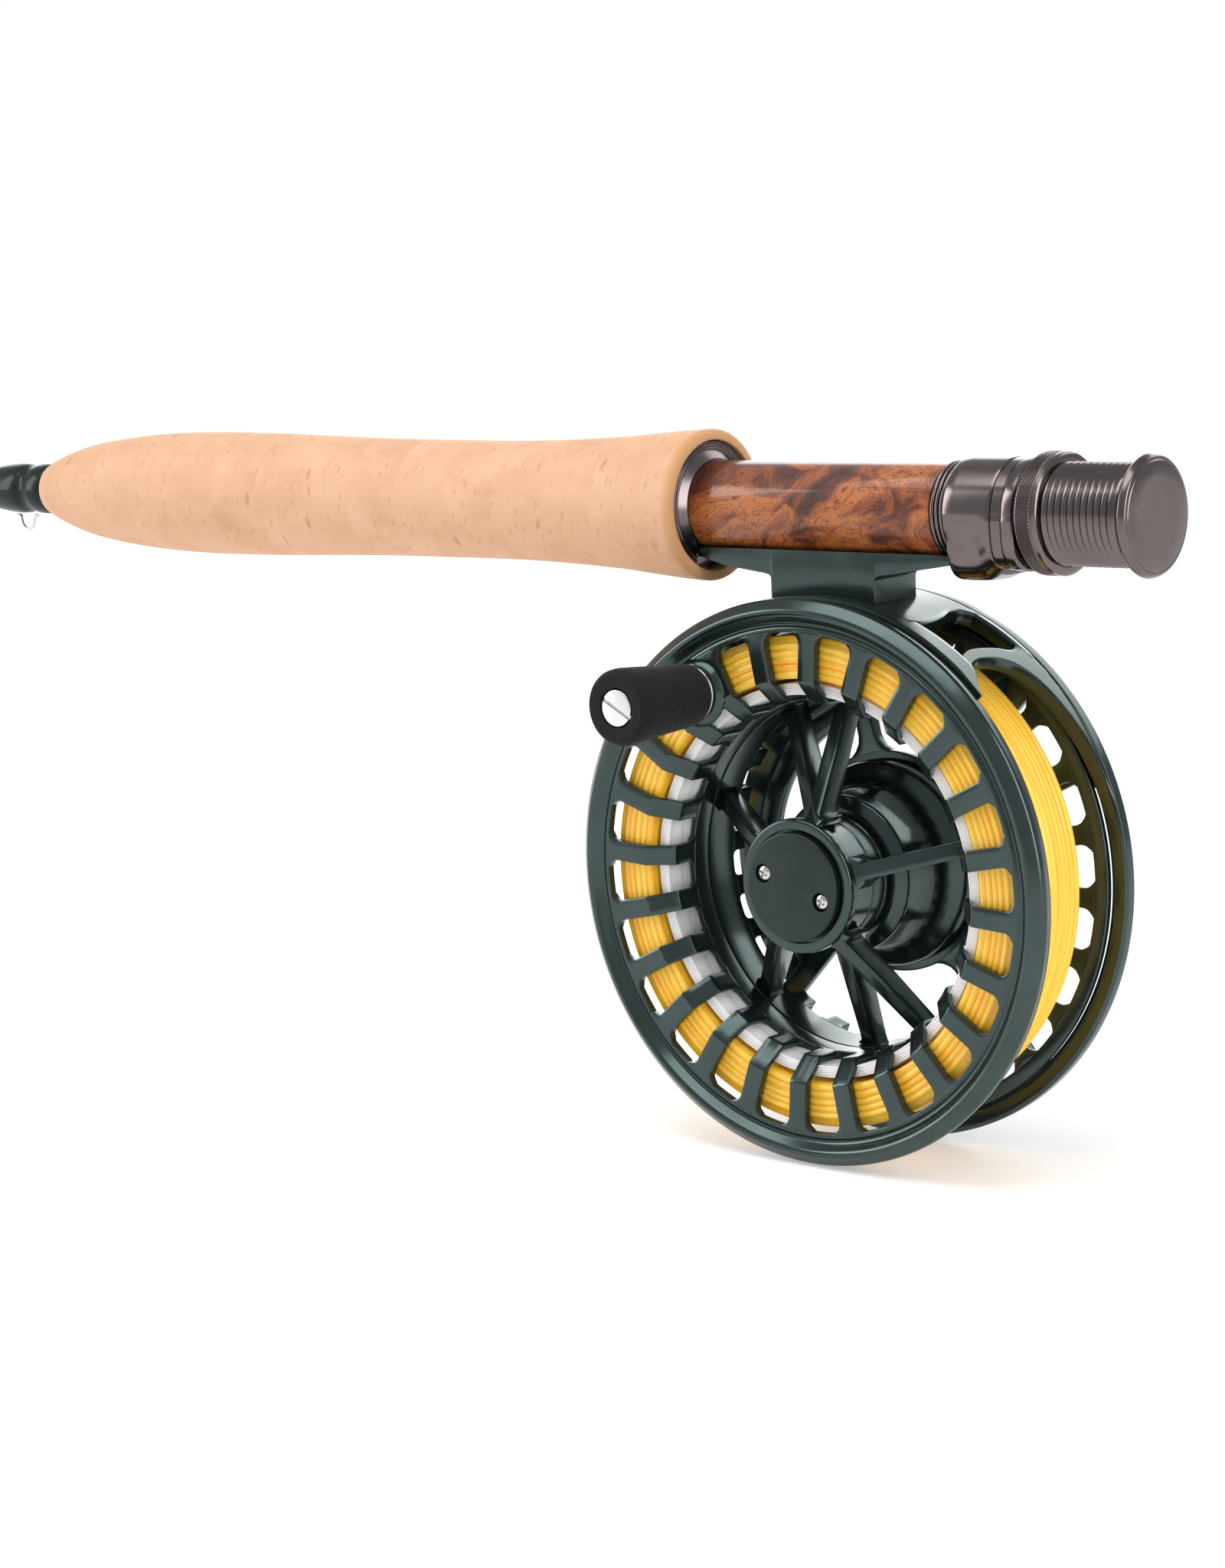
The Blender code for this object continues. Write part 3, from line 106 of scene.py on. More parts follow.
class Finishes(bpy.types.PropertyGroup):
    cork: colour("Cork", (0.66, 0.395, 0.245), "Main tone of the cork")
    burl: colour("Burl", (0.27, 0.068, 0.016), "Main tone of the burl wood")
    anodised: colour("Anodised", (0.056, 0.078, 0.075), "Dark green of the reel")
    gunmetal: colour("Gunmetal", (0.160, 0.132, 0.130), "Polished metal of the seat")
    line: colour("Fly line", (1.0, 0.56, 0.032), "Colour of the fly line")
    backing: colour("Backing", (0.93, 0.92, 0.91), "Colour of the backing")
    varnish: colour("Varnish", (0.010, 0.022, 0.018), "Dark green of blank and windings")


# ------------------------------------------------------------------ mesh tools
def deselect():
    if bpy.context.mode != "OBJECT":
        bpy.ops.object.mode_set(mode="OBJECT")
    bpy.ops.object.select_all(action="DESELECT")


def pick(*objs):
    deselect()
    for obj in objs:
        obj.select_set(True)
    bpy.context.view_layer.objects.active = objs[0]


def new_mesh(name, points, edges=(), faces=()):
    mesh = bpy.data.meshes.new(name)
    mesh.from_pydata([tuple(p) for p in points], list(edges), list(faces))
    obj = bpy.data.objects.new(name, mesh)
    bpy.context.scene.collection.objects.link(obj)
    return obj


def outwards(obj):
    pick(obj)
    bpy.ops.object.mode_set(mode="EDIT")
    bpy.ops.mesh.select_all(action="SELECT")
    bpy.ops.mesh.remove_doubles(threshold=1e-6)
    bpy.ops.mesh.normals_make_consistent(inside=False)
    bpy.ops.object.mode_set(mode="OBJECT")
    return obj


def rounded(outline, closed=True, steps=4):
    """Fillets an outline of (along, radius, fillet) corners."""
    count = len(outline)
    points = []
    for i, corner in enumerate(outline):
        here = Vector(corner[:2])
        fillet = corner[2] if len(corner) > 2 else 0
        if not fillet or (not closed and i in (0, count - 1)):
            points.append(here)
            continue
        before = Vector(outline[i - 1][:2]) - here
        after = Vector(outline[(i + 1) % count][:2]) - here
        reach = min(fillet, 0.48 * before.length, 0.48 * after.length)
        start, end = here + before.normalized() * reach, here + after.normalized() * reach
        for k in range(steps + 1):
            t = k / steps
            points.append((1 - t) ** 2 * start + 2 * t * (1 - t) * here + t * t * end)
    return points


def spun(name, outline, axis="X", centre=(0, 0, 0), steps=96, closed=True):
    """Spins an outline of (along, radius, fillet) corners about an axis through centre."""
    centre = Vector(centre)
    points = []
    for along, radius in rounded(outline, closed):
        local = Vector((along, 0, radius)) if axis == "X" else Vector((0, along, radius))
        points.append(centre + local)
    edges = [(i, i + 1) for i in range(len(points) - 1)]
    if closed:
        edges.append((len(points) - 1, 0))
    obj = new_mesh(name, points, edges)
    pick(obj)
    bpy.ops.object.mode_set(mode="EDIT")
    bpy.ops.mesh.select_all(action="SELECT")
    direction = (1, 0, 0) if axis == "X" else (0, 1, 0)
    bpy.ops.mesh.spin(steps=steps, angle=2 * math.pi, center=centre, axis=direction)
    return outwards(obj)


def loft(name, rings, closed=False):
    """Skin over rings of points, capped at both ends unless it closes on itself."""
    count = len(rings[0])
    points = [p for ring in rings for p in ring]
    faces = []
    last = len(rings) if closed else len(rings) - 1
    for r in range(last):
        a, b = r * count, (r + 1) % len(rings) * count
        faces += [(a + i, a + (i + 1) % count, b + (i + 1) % count, b + i) for i in range(count)]
    if not closed:
        faces += [tuple(range(count)), tuple(range(len(points) - count, len(points)))]
    return outwards(new_mesh(name, points, (), faces))


def modified(obj, kind, **settings):
    pick(obj)
    mod = obj.modifiers.new(kind.title(), kind)
    for key, value in settings.items():
        setattr(mod, key, value)
    bpy.ops.object.modifier_apply(modifier=mod.name)
    return obj


def broken_edges(obj, width, segments=2, angle=40):
    return modified(obj, "BEVEL", width=width, segments=segments, limit_method="ANGLE",
                    angle_limit=math.radians(angle), use_clamp_overlap=True, harden_normals=False)


def cut(obj, cutter, operation="DIFFERENCE"):
    modified(obj, "BOOLEAN", object=cutter, operation=operation, solver="EXACT")
    bpy.data.objects.remove(cutter)
    return obj


def block(place, scale, turn=0.0):
    """A box to cut with, turned about Y, with its place in its mesh."""
    bpy.ops.mesh.primitive_cube_add(size=1, location=place, rotation=(0, turn, 0), scale=scale)
    bpy.ops.object.transform_apply(location=True, rotation=True, scale=True)
    return bpy.context.active_object


def joined(name, objs):
    objs = list(objs)
    if len(objs) > 1:
        pick(*objs)
        bpy.ops.object.join()
    objs[0].name = objs[0].data.name = name
    return objs[0]


def turned_copy(obj, angle):
    """A copy turned about the spindle, clockwise as seen from the handle's side."""
    other = obj.copy()
    other.data = obj.data.copy()
    turn = Matrix.Rotation(angle, 4, "Y")
    other.data.transform(Matrix.Translation(REEL) @ turn @ Matrix.Translation(-REEL))
    bpy.context.scene.collection.objects.link(other)
    return other


def around(name, obj, angles):
    """The same shape at each of these angles about the spindle, as one object."""
    copies = [turned_copy(obj, a) for a in angles]
    bpy.data.objects.remove(obj)
    return joined(name, copies)


def wire(name, points, radius, closed=False, resolution=4):
    curve = bpy.data.curves.new(name, "CURVE")
    curve.dimensions = "3D"
    curve.bevel_depth = radius
    curve.bevel_resolution = resolution
    curve.use_fill_caps = not closed
    spline = curve.splines.new("POLY")
    spline.points.add(len(points) - 1)
    for point, co in zip(spline.points, points):
        point.co = (*co, 1)
    spline.use_cyclic_u = closed
    obj = bpy.data.objects.new(name, curve)
    bpy.context.scene.collection.objects.link(obj)
    pick(obj)
    bpy.ops.object.convert(target="MESH")
    return outwards(bpy.context.view_layer.objects.active)


def polar(radius, angle, y):
    """A point about the spindle; angle 0 is straight up and turns towards +X."""
    return REEL + Vector((radius * math.sin(angle), y, radius * math.cos(angle)))


def ease(t):
    t = min(max(t, 0.0), 1.0)
    return t * t * (3 - 2 * t)


def mix(a, b, t):
    return a + (b - a) * t


def spline(knots, xs):
    """Smooth curve through (x, value) knots."""
    kx, ky = np.array(knots, float).T
    slopes = np.gradient(ky, kx)
    out = []
    for x in xs:
        i = int(np.clip(np.searchsorted(kx, x) - 1, 0, len(kx) - 2))
        h = kx[i + 1] - kx[i]
        t = min(max((x - kx[i]) / h, 0), 1)
        a, b = ky[i], ky[i + 1]
        m0, m1 = slopes[i] * h, slopes[i + 1] * h
        out.append((2 * t**3 - 3 * t**2 + 1) * a + (t**3 - 2 * t**2 + t) * m0 + (3 * t**2 - 2 * t**3) * b
                   + (t**3 - t**2) * m1)
    return out


def finish_piece(obj, body, mat, slot, *nodes, smooth=40):
    pick(obj)
    bpy.ops.object.shade_smooth_by_angle(angle=math.radians(smooth))
    obj.data.materials.clear()
    obj.data.materials.append(mat)
    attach(obj, body)
    if nodes:
        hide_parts(*nodes)
    return obj


# ------------------------------------------------------------------ material tools
class Shading:
    """Short calls for building one node tree."""

    def __init__(self, tree):
        self.tree = tree

    def add(self, kind, inputs=None, **settings):
        node = self.tree.nodes.new(kind)
        for key, value in settings.items():
            setattr(node, key, value)
        for key, value in (inputs or {}).items():
            self.set(node, key, value)
        return node

    def set(self, node, key, value):
        socket = node.inputs[key]
        if isinstance(value, bpy.types.NodeSocket):
            self.tree.links.new(value, socket)
        elif isinstance(value, (tuple, list)) and len(value) == 3 and socket.type == "RGBA":
            socket.default_value = (*value, 1)
        else:
            socket.default_value = value

    def math(self, operation, a, b=0.0):
        return self.add("ShaderNodeMath", {0: a, 1: b}, operation=operation).outputs[0]

    def vector(self, operation, a, b=(0, 0, 0)):
        return self.add("ShaderNodeVectorMath", {0: a, 1: b}, operation=operation).outputs[0]

    def noise(self, vector, scale, detail=3.0, rough=0.55, distortion=0.0):
        node = self.add("ShaderNodeTexNoise", {"Vector": vector, "Scale": scale, "Detail": detail,
                                               "Roughness": rough, "Distortion": distortion})
        return node.outputs["Fac"]

    def span(self, value, low, high, new_low=0.0, new_high=1.0):
        node = self.add("ShaderNodeMapRange", {"Value": value, "From Min": low, "From Max": high,
                                               "To Min": new_low, "To Max": new_high})
        return node.outputs["Result"]

    def blend(self, factor, a, b, mode="MIX"):
        node = self.add("ShaderNodeMix", data_type="RGBA", blend_type=mode)
        colours = [s for s in node.inputs if s.type == "RGBA"]
        self.set(node, 0, factor)
        for socket, value in zip(colours, (a, b)):
            if isinstance(value, bpy.types.NodeSocket):
                self.tree.links.new(value, socket)
            else:
                socket.default_value = (*value, 1)
        return [s for s in node.outputs if s.type == "RGBA"][0]

    def ramp(self, value, stops):
        node = self.add("ShaderNodeValToRGB", {"Fac": value})
        ramp = node.color_ramp
        while len(ramp.elements) < len(stops):
            ramp.elements.new(0.5)
        for element, (place, tone) in zip(ramp.elements, stops):
            element.position = place
            element.color = (*tone, 1)
        return node.outputs["Color"]

    def bump(self, height, strength, distance, normal=None):
        inputs = {"Height": height, "Strength": strength, "Distance": distance}
        if normal:
            inputs["Normal"] = normal
        return self.add("ShaderNodeBump", inputs).outputs["Normal"]


def new_material(name, **shader_values):
    """A material with its shader's plain sockets set; returns it, its tools and the shader."""
    mat = bpy.data.materials.new(name)
    mat.use_nodes = True
    tools = Shading(mat.node_tree)
    shader = mat.node_tree.nodes["Principled BSDF"]
    for key, value in shader_values.items():
        tools.set(shader, key.replace("_", " "), value)
    place = tools.add("ShaderNodeTexCoord").outputs["Object"]
    return mat, tools, shader, place


def new_group(name, inputs, outputs):
    tree = bpy.data.node_groups.new(name, "ShaderNodeTree")
    for key, kind, value in inputs:
        socket = tree.interface.new_socket(name=key, in_out="INPUT", socket_type=kind)
        if value is not None:
            socket.default_value = value
    for key, kind in outputs:
        tree.interface.new_socket(name=key, in_out="OUTPUT", socket_type=kind)
    tools = Shading(tree)
    return tree, tools, tools.add("NodeGroupInput").outputs, tools.add("NodeGroupOutput")


def machined_group():
    """Fine blasting grain and faint handling marks of machined metal."""
    tree, t, given, out = new_group(
        "Machined Surface",
        [("Vector", "NodeSocketVector", None), ("Grain", "NodeSocketFloat", 3000.0),
         ("Low", "NodeSocketFloat", 0.2), ("High", "NodeSocketFloat", 0.35)],
        [("Roughness", "NodeSocketFloat"), ("Height", "NodeSocketFloat")])
    cloud = t.noise(given["Vector"], 90.0, 4.0)
    t.set(out, "Roughness", t.span(cloud, 0.35, 0.7, given["Low"], given["High"]))
    t.set(out, "Height", t.noise(given["Vector"], given["Grain"], 2.0))
    return tree


def turning_group():
    """Fine tool lines round an axis: bands of the distance from it."""
    tree, t, given, out = new_group(
        "Turning Lines",
        [("Distance", "NodeSocketFloat", 0.0), ("Pitch", "NodeSocketFloat", 0.0002)],
        [("Height", "NodeSocketFloat")])
    band = t.math("SINE", t.math("DIVIDE", given["Distance"], given["Pitch"]))
    drift = t.add("ShaderNodeTexNoise", {"W": given["Distance"], "Scale": 2600.0, "Detail": 3.0},
                  noise_dimensions="1D").outputs[0]
    t.set(out, "Height", t.math("ADD", t.math("MULTIPLY", band, 0.3), drift))
    return tree


def winding_group():
    """Round turns of thread side by side, each with its own slight tone."""
    tree, t, given, out = new_group(
        "Thread Turns",
        [("Distance", "NodeSocketFloat", 0.0), ("Pitch", "NodeSocketFloat", 0.0003)],
        [("Height", "NodeSocketFloat"), ("Tone", "NodeSocketFloat")])
    turn = t.math("DIVIDE", given["Distance"], given["Pitch"])
    inside = t.math("SUBTRACT", t.math("FRACT", turn), 0.5)
    across = t.math("SUBTRACT", 0.25, t.math("MULTIPLY", inside, inside))
    t.set(out, "Height", t.math("SQRT", t.math("MAXIMUM", across, 0.0)))
    tone = t.add("ShaderNodeTexWhiteNoise", {"W": t.math("FLOOR", turn)}, noise_dimensions="1D")
    t.set(out, "Tone", tone.outputs["Value"])
    return tree


def speckle_group():
    """Scattered small pits and flecks, longer across the rod than along it."""
    tree, t, given, out = new_group(
        "Pits and Flecks",
        [("Vector", "NodeSocketVector", None), ("Scale", "NodeSocketFloat", 300.0),
         ("Amount", "NodeSocketFloat", 0.3)],
        [("Mask", "NodeSocketFloat")])
    cells = t.add("ShaderNodeTexVoronoi", {"Vector": given["Vector"], "Scale": given["Scale"]})
    spot = t.span(cells.outputs["Distance"], 0.27, 0.12)
    patches = t.noise(given["Vector"], t.math("MULTIPLY", given["Scale"], 0.35), 2.0)
    some = t.math("LESS_THAN", patches, given["Amount"])
    t.set(out, "Mask", t.math("MULTIPLY", spot, some))
    return tree


GROUPS = {}
MATERIALS = {}


def use_group(tools, name, **values):
    node = tools.add("ShaderNodeGroup", node_tree=GROUPS[name])
    for key, value in values.items():
        tools.set(node, key, value)
    return node.outputs


def metal(name, tone, low, high, lines=None, metallic=1.0):
    """Machined metal: grain, uneven gloss, and turning lines about the rod or the spindle."""
    mat, t, shader, place = new_material(name, Base_Color=tone, Metallic=metallic)
    surface = use_group(t, "machined", Vector=place, Grain=2600.0, Low=low, High=high)
    t.set(shader, "Roughness", surface["Roughness"])
    normal = t.bump(surface["Height"], 0.08, 0.00003)
    if lines:
        centre, keep = (REEL, (1, 0, 1)) if lines == "spindle" else (Vector((0, 0, 0)), (1, 0, 0))
        away = t.vector("MULTIPLY", t.vector("SUBTRACT", place, tuple(centre)), keep)
        distance = t.add("ShaderNodeVectorMath", {0: away}, operation="LENGTH").outputs["Value"]
        rings = use_group(t, "turning", Distance=distance, Pitch=0.00003)
        normal = t.bump(rings["Height"], 0.10, 0.00002, normal)
    t.set(shader, "Normal", normal)
    blotch = t.noise(place, 140.0, 3.0)
    t.set(shader, "Base Color", t.blend(t.span(blotch, 0.35, 0.75), tone, tuple(0.86 * c for c in tone)))
    return mat


def cork_material(tones, sizes):
    """Rings of cork with their own grain, pits, flecks and glue lines."""
    mat, t, shader, place = new_material("Cork", Roughness=0.72, Specular_IOR_Level=0.28)
    split = t.add("ShaderNodeSeparateXYZ", {"Vector": place}).outputs
    # each ring has its own tone and grain offset
    ring = t.math("FLOOR", t.math("DIVIDE", t.math("ADD", split["X"], 0.5), sizes.cork_ring))
    own = t.add("ShaderNodeTexWhiteNoise", {"W": ring}, noise_dimensions="1D").outputs
    shifted = t.vector("ADD", place, t.vector("SCALE", own["Color"]))
    clouds = t.noise(t.vector("MULTIPLY", shifted, (0.6, 1, 1)), 120.0, 6.0, 0.62)
    light, deep = tuple(tones.cork), (0.56, 0.31, 0.175)
    base = t.ramp(t.span(clouds, 0.25, 0.78), [(0.0, deep), (0.30, (0.62, 0.36, 0.215)), (0.62, light),
                                               (1.0, (0.71, 0.45, 0.295))])
    base = t.blend(t.span(own["Value"], 0.0, 1.0, 0.0, 0.16), base, (0.61, 0.34, 0.20))
    # flecks and pits
    stretched = t.vector("MULTIPLY", shifted, (1.0, 0.45, 0.45))
    fine = use_group(t, "speckle", Vector=stretched, Scale=700.0, Amount=0.52)["Mask"]
    coarse = use_group(t, "speckle", Vector=stretched, Scale=330.0, Amount=0.46)["Mask"]
    pits = t.math("MAXIMUM", t.math("MULTIPLY", fine, 0.60), coarse)
    base = t.blend(t.math("MULTIPLY", pits, 0.42), base, (0.30, 0.145, 0.06))
    # glue line between rings, broken up by noise
    part = t.math("FRACT", t.math("DIVIDE", t.math("ADD", split["X"], 0.5), sizes.cork_ring))
    edge = t.math("LESS_THAN", t.math("ABSOLUTE", t.math("SUBTRACT", part, 0.5)), 0.012)
    broken = t.span(t.noise(place, 260.0, 3.0), 0.48, 0.62)
    joint = t.math("MULTIPLY", edge, broken)
    base = t.blend(t.math("MULTIPLY", joint, 0.40), base, (0.50, 0.28, 0.14))
    # denser, darker lip at the seat
    lip = t.span(split["X"], GRIP_END - 2.3 * MM, GRIP_END - 0.7 * MM)
    base = t.blend(t.math("MULTIPLY", lip, 0.62), base, (0.52, 0.25, 0.09))
    t.set(shader, "Base Color", base)
    hollows = t.math("ADD", pits, t.math("MULTIPLY", joint, 0.5))
    height = t.math("SUBTRACT", t.math("MULTIPLY", clouds, 0.35), hollows)
    t.set(shader, "Normal", t.bump(height, 0.45, 0.00022))
    return mat


def burl_material(tones):
    """Lacquered burl: dark swirls and eyes, thin growth lines and fine pores."""
    mat, t, shader, place = new_material("Burl Wood", Coat_Weight=0.5, Coat_Roughness=0.09, Coat_IOR=1.45,
                                         Specular_IOR_Level=0.3)
    warp = t.add("ShaderNodeTexNoise", {"Vector": place, "Scale": 45.0, "Detail": 2.0, "Roughness": 0.5})
    bend = t.add("ShaderNodeVectorMath", {0: t.vector("SUBTRACT", warp.outputs["Color"], (0.5, 0.5, 0.5)),
                                          "Scale": 0.034}, operation="SCALE").outputs[0]
    swirl = t.vector("ADD", place, bend)
    field = t.noise(swirl, 62.0, 4.0, 0.58, 1.2)
    light, orange = (0.43, 0.135, 0.032), tuple(tones.burl)
    brown, dark = (0.105, 0.024, 0.009), (0.028, 0.009, 0.005)
    base = t.ramp(t.span(field, 0.30, 0.70), [(0.08, dark), (0.34, brown), (0.54, orange), (0.78, light),
                                              (1.0, (0.30, 0.075, 0.018))])
    # growth lines follow the swirls
    lines = t.math("ABSOLUTE", t.math("SINE", t.math("MULTIPLY", field, 62.0)))
    base = t.blend(t.span(lines, 0.42, 0.04, 0.0, 0.85), base, (0.045, 0.012, 0.006))
    cells = t.add("ShaderNodeTexVoronoi", {"Vector": swirl, "Scale": 78.0}, feature="SMOOTH_F1")
    eyes = cells.outputs["Distance"]
    spots = t.math("MULTIPLY", t.span(eyes, 0.30, 0.10), t.math("LESS_THAN", t.noise(place, 55.0, 2.0), 0.52))
    base = t.blend(t.math("MULTIPLY", spots, 0.88), base, dark)
    pores = t.span(t.noise(t.vector("MULTIPLY", swirl, (1, 0.3, 0.3)), 1300.0, 2.0), 0.58, 0.68)
    base = t.blend(t.math("MULTIPLY", pores, 0.55), base, (0.05, 0.015, 0.008))
    t.set(shader, "Base Color", base)
    t.set(shader, "Roughness", t.span(field, 0.3, 0.7, 0.34, 0.46))
    t.set(shader, "Normal", t.bump(t.math("SUBTRACT", field, pores), 0.08, 0.0001))
    return mat


def thread_material(name, tone, axis, pitch, depth=0.5, coat=0.0, rough=0.5, tone_spread=0.2, shine=0.5):
    """Close turns of thread; the turns lie side by side along the rod or the spindle."""
    mat, t, shader, place = new_material(name, Coat_Weight=coat, Coat_Roughness=0.04, Coat_IOR=1.5,
                                         Specular_IOR_Level=shine)
    split = t.add("ShaderNodeSeparateXYZ", {"Vector": place}).outputs
    wobble = t.math("MULTIPLY", t.math("SUBTRACT", t.noise(place, 240.0, 2.0), 0.5), pitch * 0.8)
    distance = t.math("ADD", t.math("ADD", split[axis], wobble), 0.5)
    turns = use_group(t, "winding", Distance=distance, Pitch=pitch)
    low = tuple(c * (1 - tone_spread) for c in tone)
    t.set(shader, "Base Color", t.blend(turns["Tone"], tone, low))
    t.set(shader, "Roughness", t.span(turns["Tone"], 0, 1, rough * 0.85, rough * 1.1))
    t.set(shader, "Normal", t.bump(turns["Height"], depth, pitch * 0.6))
    return mat


def soft_material(name, tone, roughness, scale, depth, sheen=0.0):
    """Rubber, foam and carbon: a dull base with a fine open grain."""
    mat, t, shader, place = new_material(name, Sheen_Weight=sheen, Sheen_Roughness=0.4,
                                         Specular_IOR_Level=0.3)
    grain = t.noise(place, scale, 4.0, 0.65)
    cells = t.add("ShaderNodeTexVoronoi", {"Vector": place, "Scale": scale * 0.8}).outputs["Distance"]
    t.set(shader, "Base Color", t.blend(t.span(grain, 0.35, 0.7), tone, tuple(1.6 * c for c in tone)))
    t.set(shader, "Roughness", t.span(grain, 0.3, 0.7, roughness * 0.9, min(roughness * 1.08, 1)))
    t.set(shader, "Normal", t.bump(t.math("ADD", grain, cells), depth, 0.00012))
    return mat


def gloss_material(name, tone, roughness, coat=1.0, shine=0.5):
    """Smooth varnish or ceramic under a clear coat."""
    mat, t, shader, place = new_material(name, Coat_Weight=coat, Coat_Roughness=0.03, Coat_IOR=1.5,
                                         Specular_IOR_Level=shine)
    cloud = t.noise(place, 120.0, 4.0)
    t.set(shader, "Base Color", t.blend(t.span(cloud, 0.35, 0.7), tone, tuple(0.8 * c for c in tone)))
    t.set(shader, "Roughness", t.span(cloud, 0.3, 0.7, roughness, roughness * 1.25))
    t.set(shader, "Normal", t.bump(t.noise(place, 1440.0, 2.0), 0.03, 0.00005))
    return mat


def line_material(tones):
    """Coated line: smooth and a little waxy, with long soft changes of tone."""
    tone = tuple(tones.line)
    mat, t, shader, place = new_material("Fly Line", Coat_Weight=0.35, Coat_Roughness=0.15, Coat_IOR=1.45,
                                         Subsurface_Weight=0.12, Subsurface_Radius=(0.6, 0.35, 0.08),
                                         Subsurface_Scale=0.0008)
    away = t.vector("MULTIPLY", t.vector("SUBTRACT", place, tuple(REEL)), (1, 0, 1))
    distance = t.add("ShaderNodeVectorMath", {0: away}, operation="LENGTH").outputs["Value"]
    split = t.add("ShaderNodeSeparateXYZ", {"Vector": place}).outputs
    strand = t.math("ADD", t.math("MULTIPLY", distance, 900.0), t.math("MULTIPLY", split["Y"], 800.0))
    joined_up = t.add("ShaderNodeCombineXYZ", {"X": strand, "Y": t.math("MULTIPLY", split["X"], 30.0),
                                              "Z": t.math("MULTIPLY", split["Z"], 30.0)}).outputs[0]
    tint = t.noise(joined_up, 1.0, 3.0)
    base = t.ramp(t.span(tint, 0.30, 0.72), [(0.0, (0.99, 0.42, 0.020)), (0.36, tone),
                                             (1.0, (1.0, 0.64, 0.075))])
    t.set(shader, "Base Color", base)
    t.set(shader, "Roughness", t.span(tint, 0.3, 0.7, 0.34, 0.46))
    t.set(shader, "Normal", t.bump(t.noise(joined_up, 3.0, 3.0), 0.12, 0.0001))
    return mat


# ------------------------------------------------------------------ rod pieces
class BuildFinishes(bpy.types.Operator):
    """Makes the shared shader groups and every material"""
    bl_idname = "rod.finishes"
    bl_label = "Finishes"

    def execute(self, context):
        tones, sizes = context.scene.rod_finishes, context.scene.rod_sizes
        GROUPS.update(machined=machined_group(), turning=turning_group(), winding=winding_group(),
                      speckle=speckle_group())
        dark = tuple(tones.varnish)
        MATERIALS.update(
            cork=cork_material(tones, sizes),
            burl=burl_material(tones),
            anodised=metal("Green Anodised", tuple(tones.anodised), 0.15, 0.24, "spindle", 0.86),
            cap=metal("Satin Anodised", tuple(0.50 * c for c in tones.anodised), 0.30, 0.42, None, 0.80),
            gunmetal=metal("Polished Gunmetal", tuple(tones.gunmetal), 0.15, 0.25, lines="rod"),
            steel=metal("Stainless Steel", (0.62, 0.61, 0.58), 0.18, 0.30),
            aluminium=metal("Bright Aluminium", (0.80, 0.80, 0.80), 0.24, 0.36, lines="spindle"),
            foam=soft_material("Handle Foam", (0.0050, 0.0048, 0.0048), 0.92, 1700.0, 1.0, sheen=0.06),
            rubber=soft_material("Seal Rubber", (0.02, 0.02, 0.02), 0.80, 1600.0, 0.4),
            carbon=soft_material("Carbon Disc", (0.02, 0.02, 0.02), 0.60, 1200.0, 0.3),
            blank=gloss_material("Blank Varnish", dark, 0.28, coat=0.15, shine=0.15),
            ceramic=gloss_material("Guide Ceramic", (0.03, 0.03, 0.035), 0.10, coat=0.3),
            winding=thread_material("Varnished Thread", tuple(0.7 * c for c in dark), "X", 0.00022,
                                    depth=0.12, coat=0.15, rough=0.35, tone_spread=0.4, shine=0.12),
            line=line_material(tones),
            backing=thread_material("Backing", tuple(tones.backing), "Y", 0.00042, depth=0.9, rough=0.65,
                                    tone_spread=0.16),
        )
        return {"FINISHED"}


BLANKS = (("blank_butt_section", "rod_butt"), ("blank_second_section", "section_2"),
          ("blank_third_section", "section_3"), ("blank_tip_section", "section_4"))


def blank_ends(node):
    """Butt-side and tip-side (x, outer radius) of a blank section."""
    points = np.array([v.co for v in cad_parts[node].data.vertices])
    radii = np.hypot(points[:, 1], points[:, 2])
    ends = []
    for x in (points[:, 0].max(), points[:, 0].min()):
        near = np.abs(points[:, 0] - x) < 1e-5
        ends.append((float(x), float(radii[near].max())))
    return ends


def blank_radius(x):
    """Outer radius of the rod at x: the section on top of the ferrule counts."""
    found = 0.0
    for node, _ in BLANKS:
        (x1, r1), (x2, r2) = blank_ends(node)
        if x2 <= x <= x1:
            found = max(found, mix(r1, r2, (x1 - x) / (x1 - x2)))
    return found


class BuildBlanks(bpy.types.Operator):
    """Four tapered blank sections with open ends"""
    bl_idname = "rod.blanks"
    bl_label = "Blanks"

    def execute(self, context):
        for node, body in BLANKS:
            (x1, r1), (x2, r2) = blank_ends(node)
            wall = 0.00045 if node == "blank_butt_section" else 0.0005
            outline = [(x1, r1 - 0.1 * MM, 0), (x1 - 0.2 * MM, r1, 0.0001), (x2 + 0.2 * MM, r2, 0.0001),
                       (x2, r2 - 0.1 * MM, 0), (x2, max(r2 - wall, 0.0004), 0), (x1, r1 - wall, 0)]
            obj = spun(node.replace("section", "tube"), outline, steps=64)
            finish_piece(obj, body, MATERIALS["blank"], "blank_varnish", node)
        return {"FINISHED"}


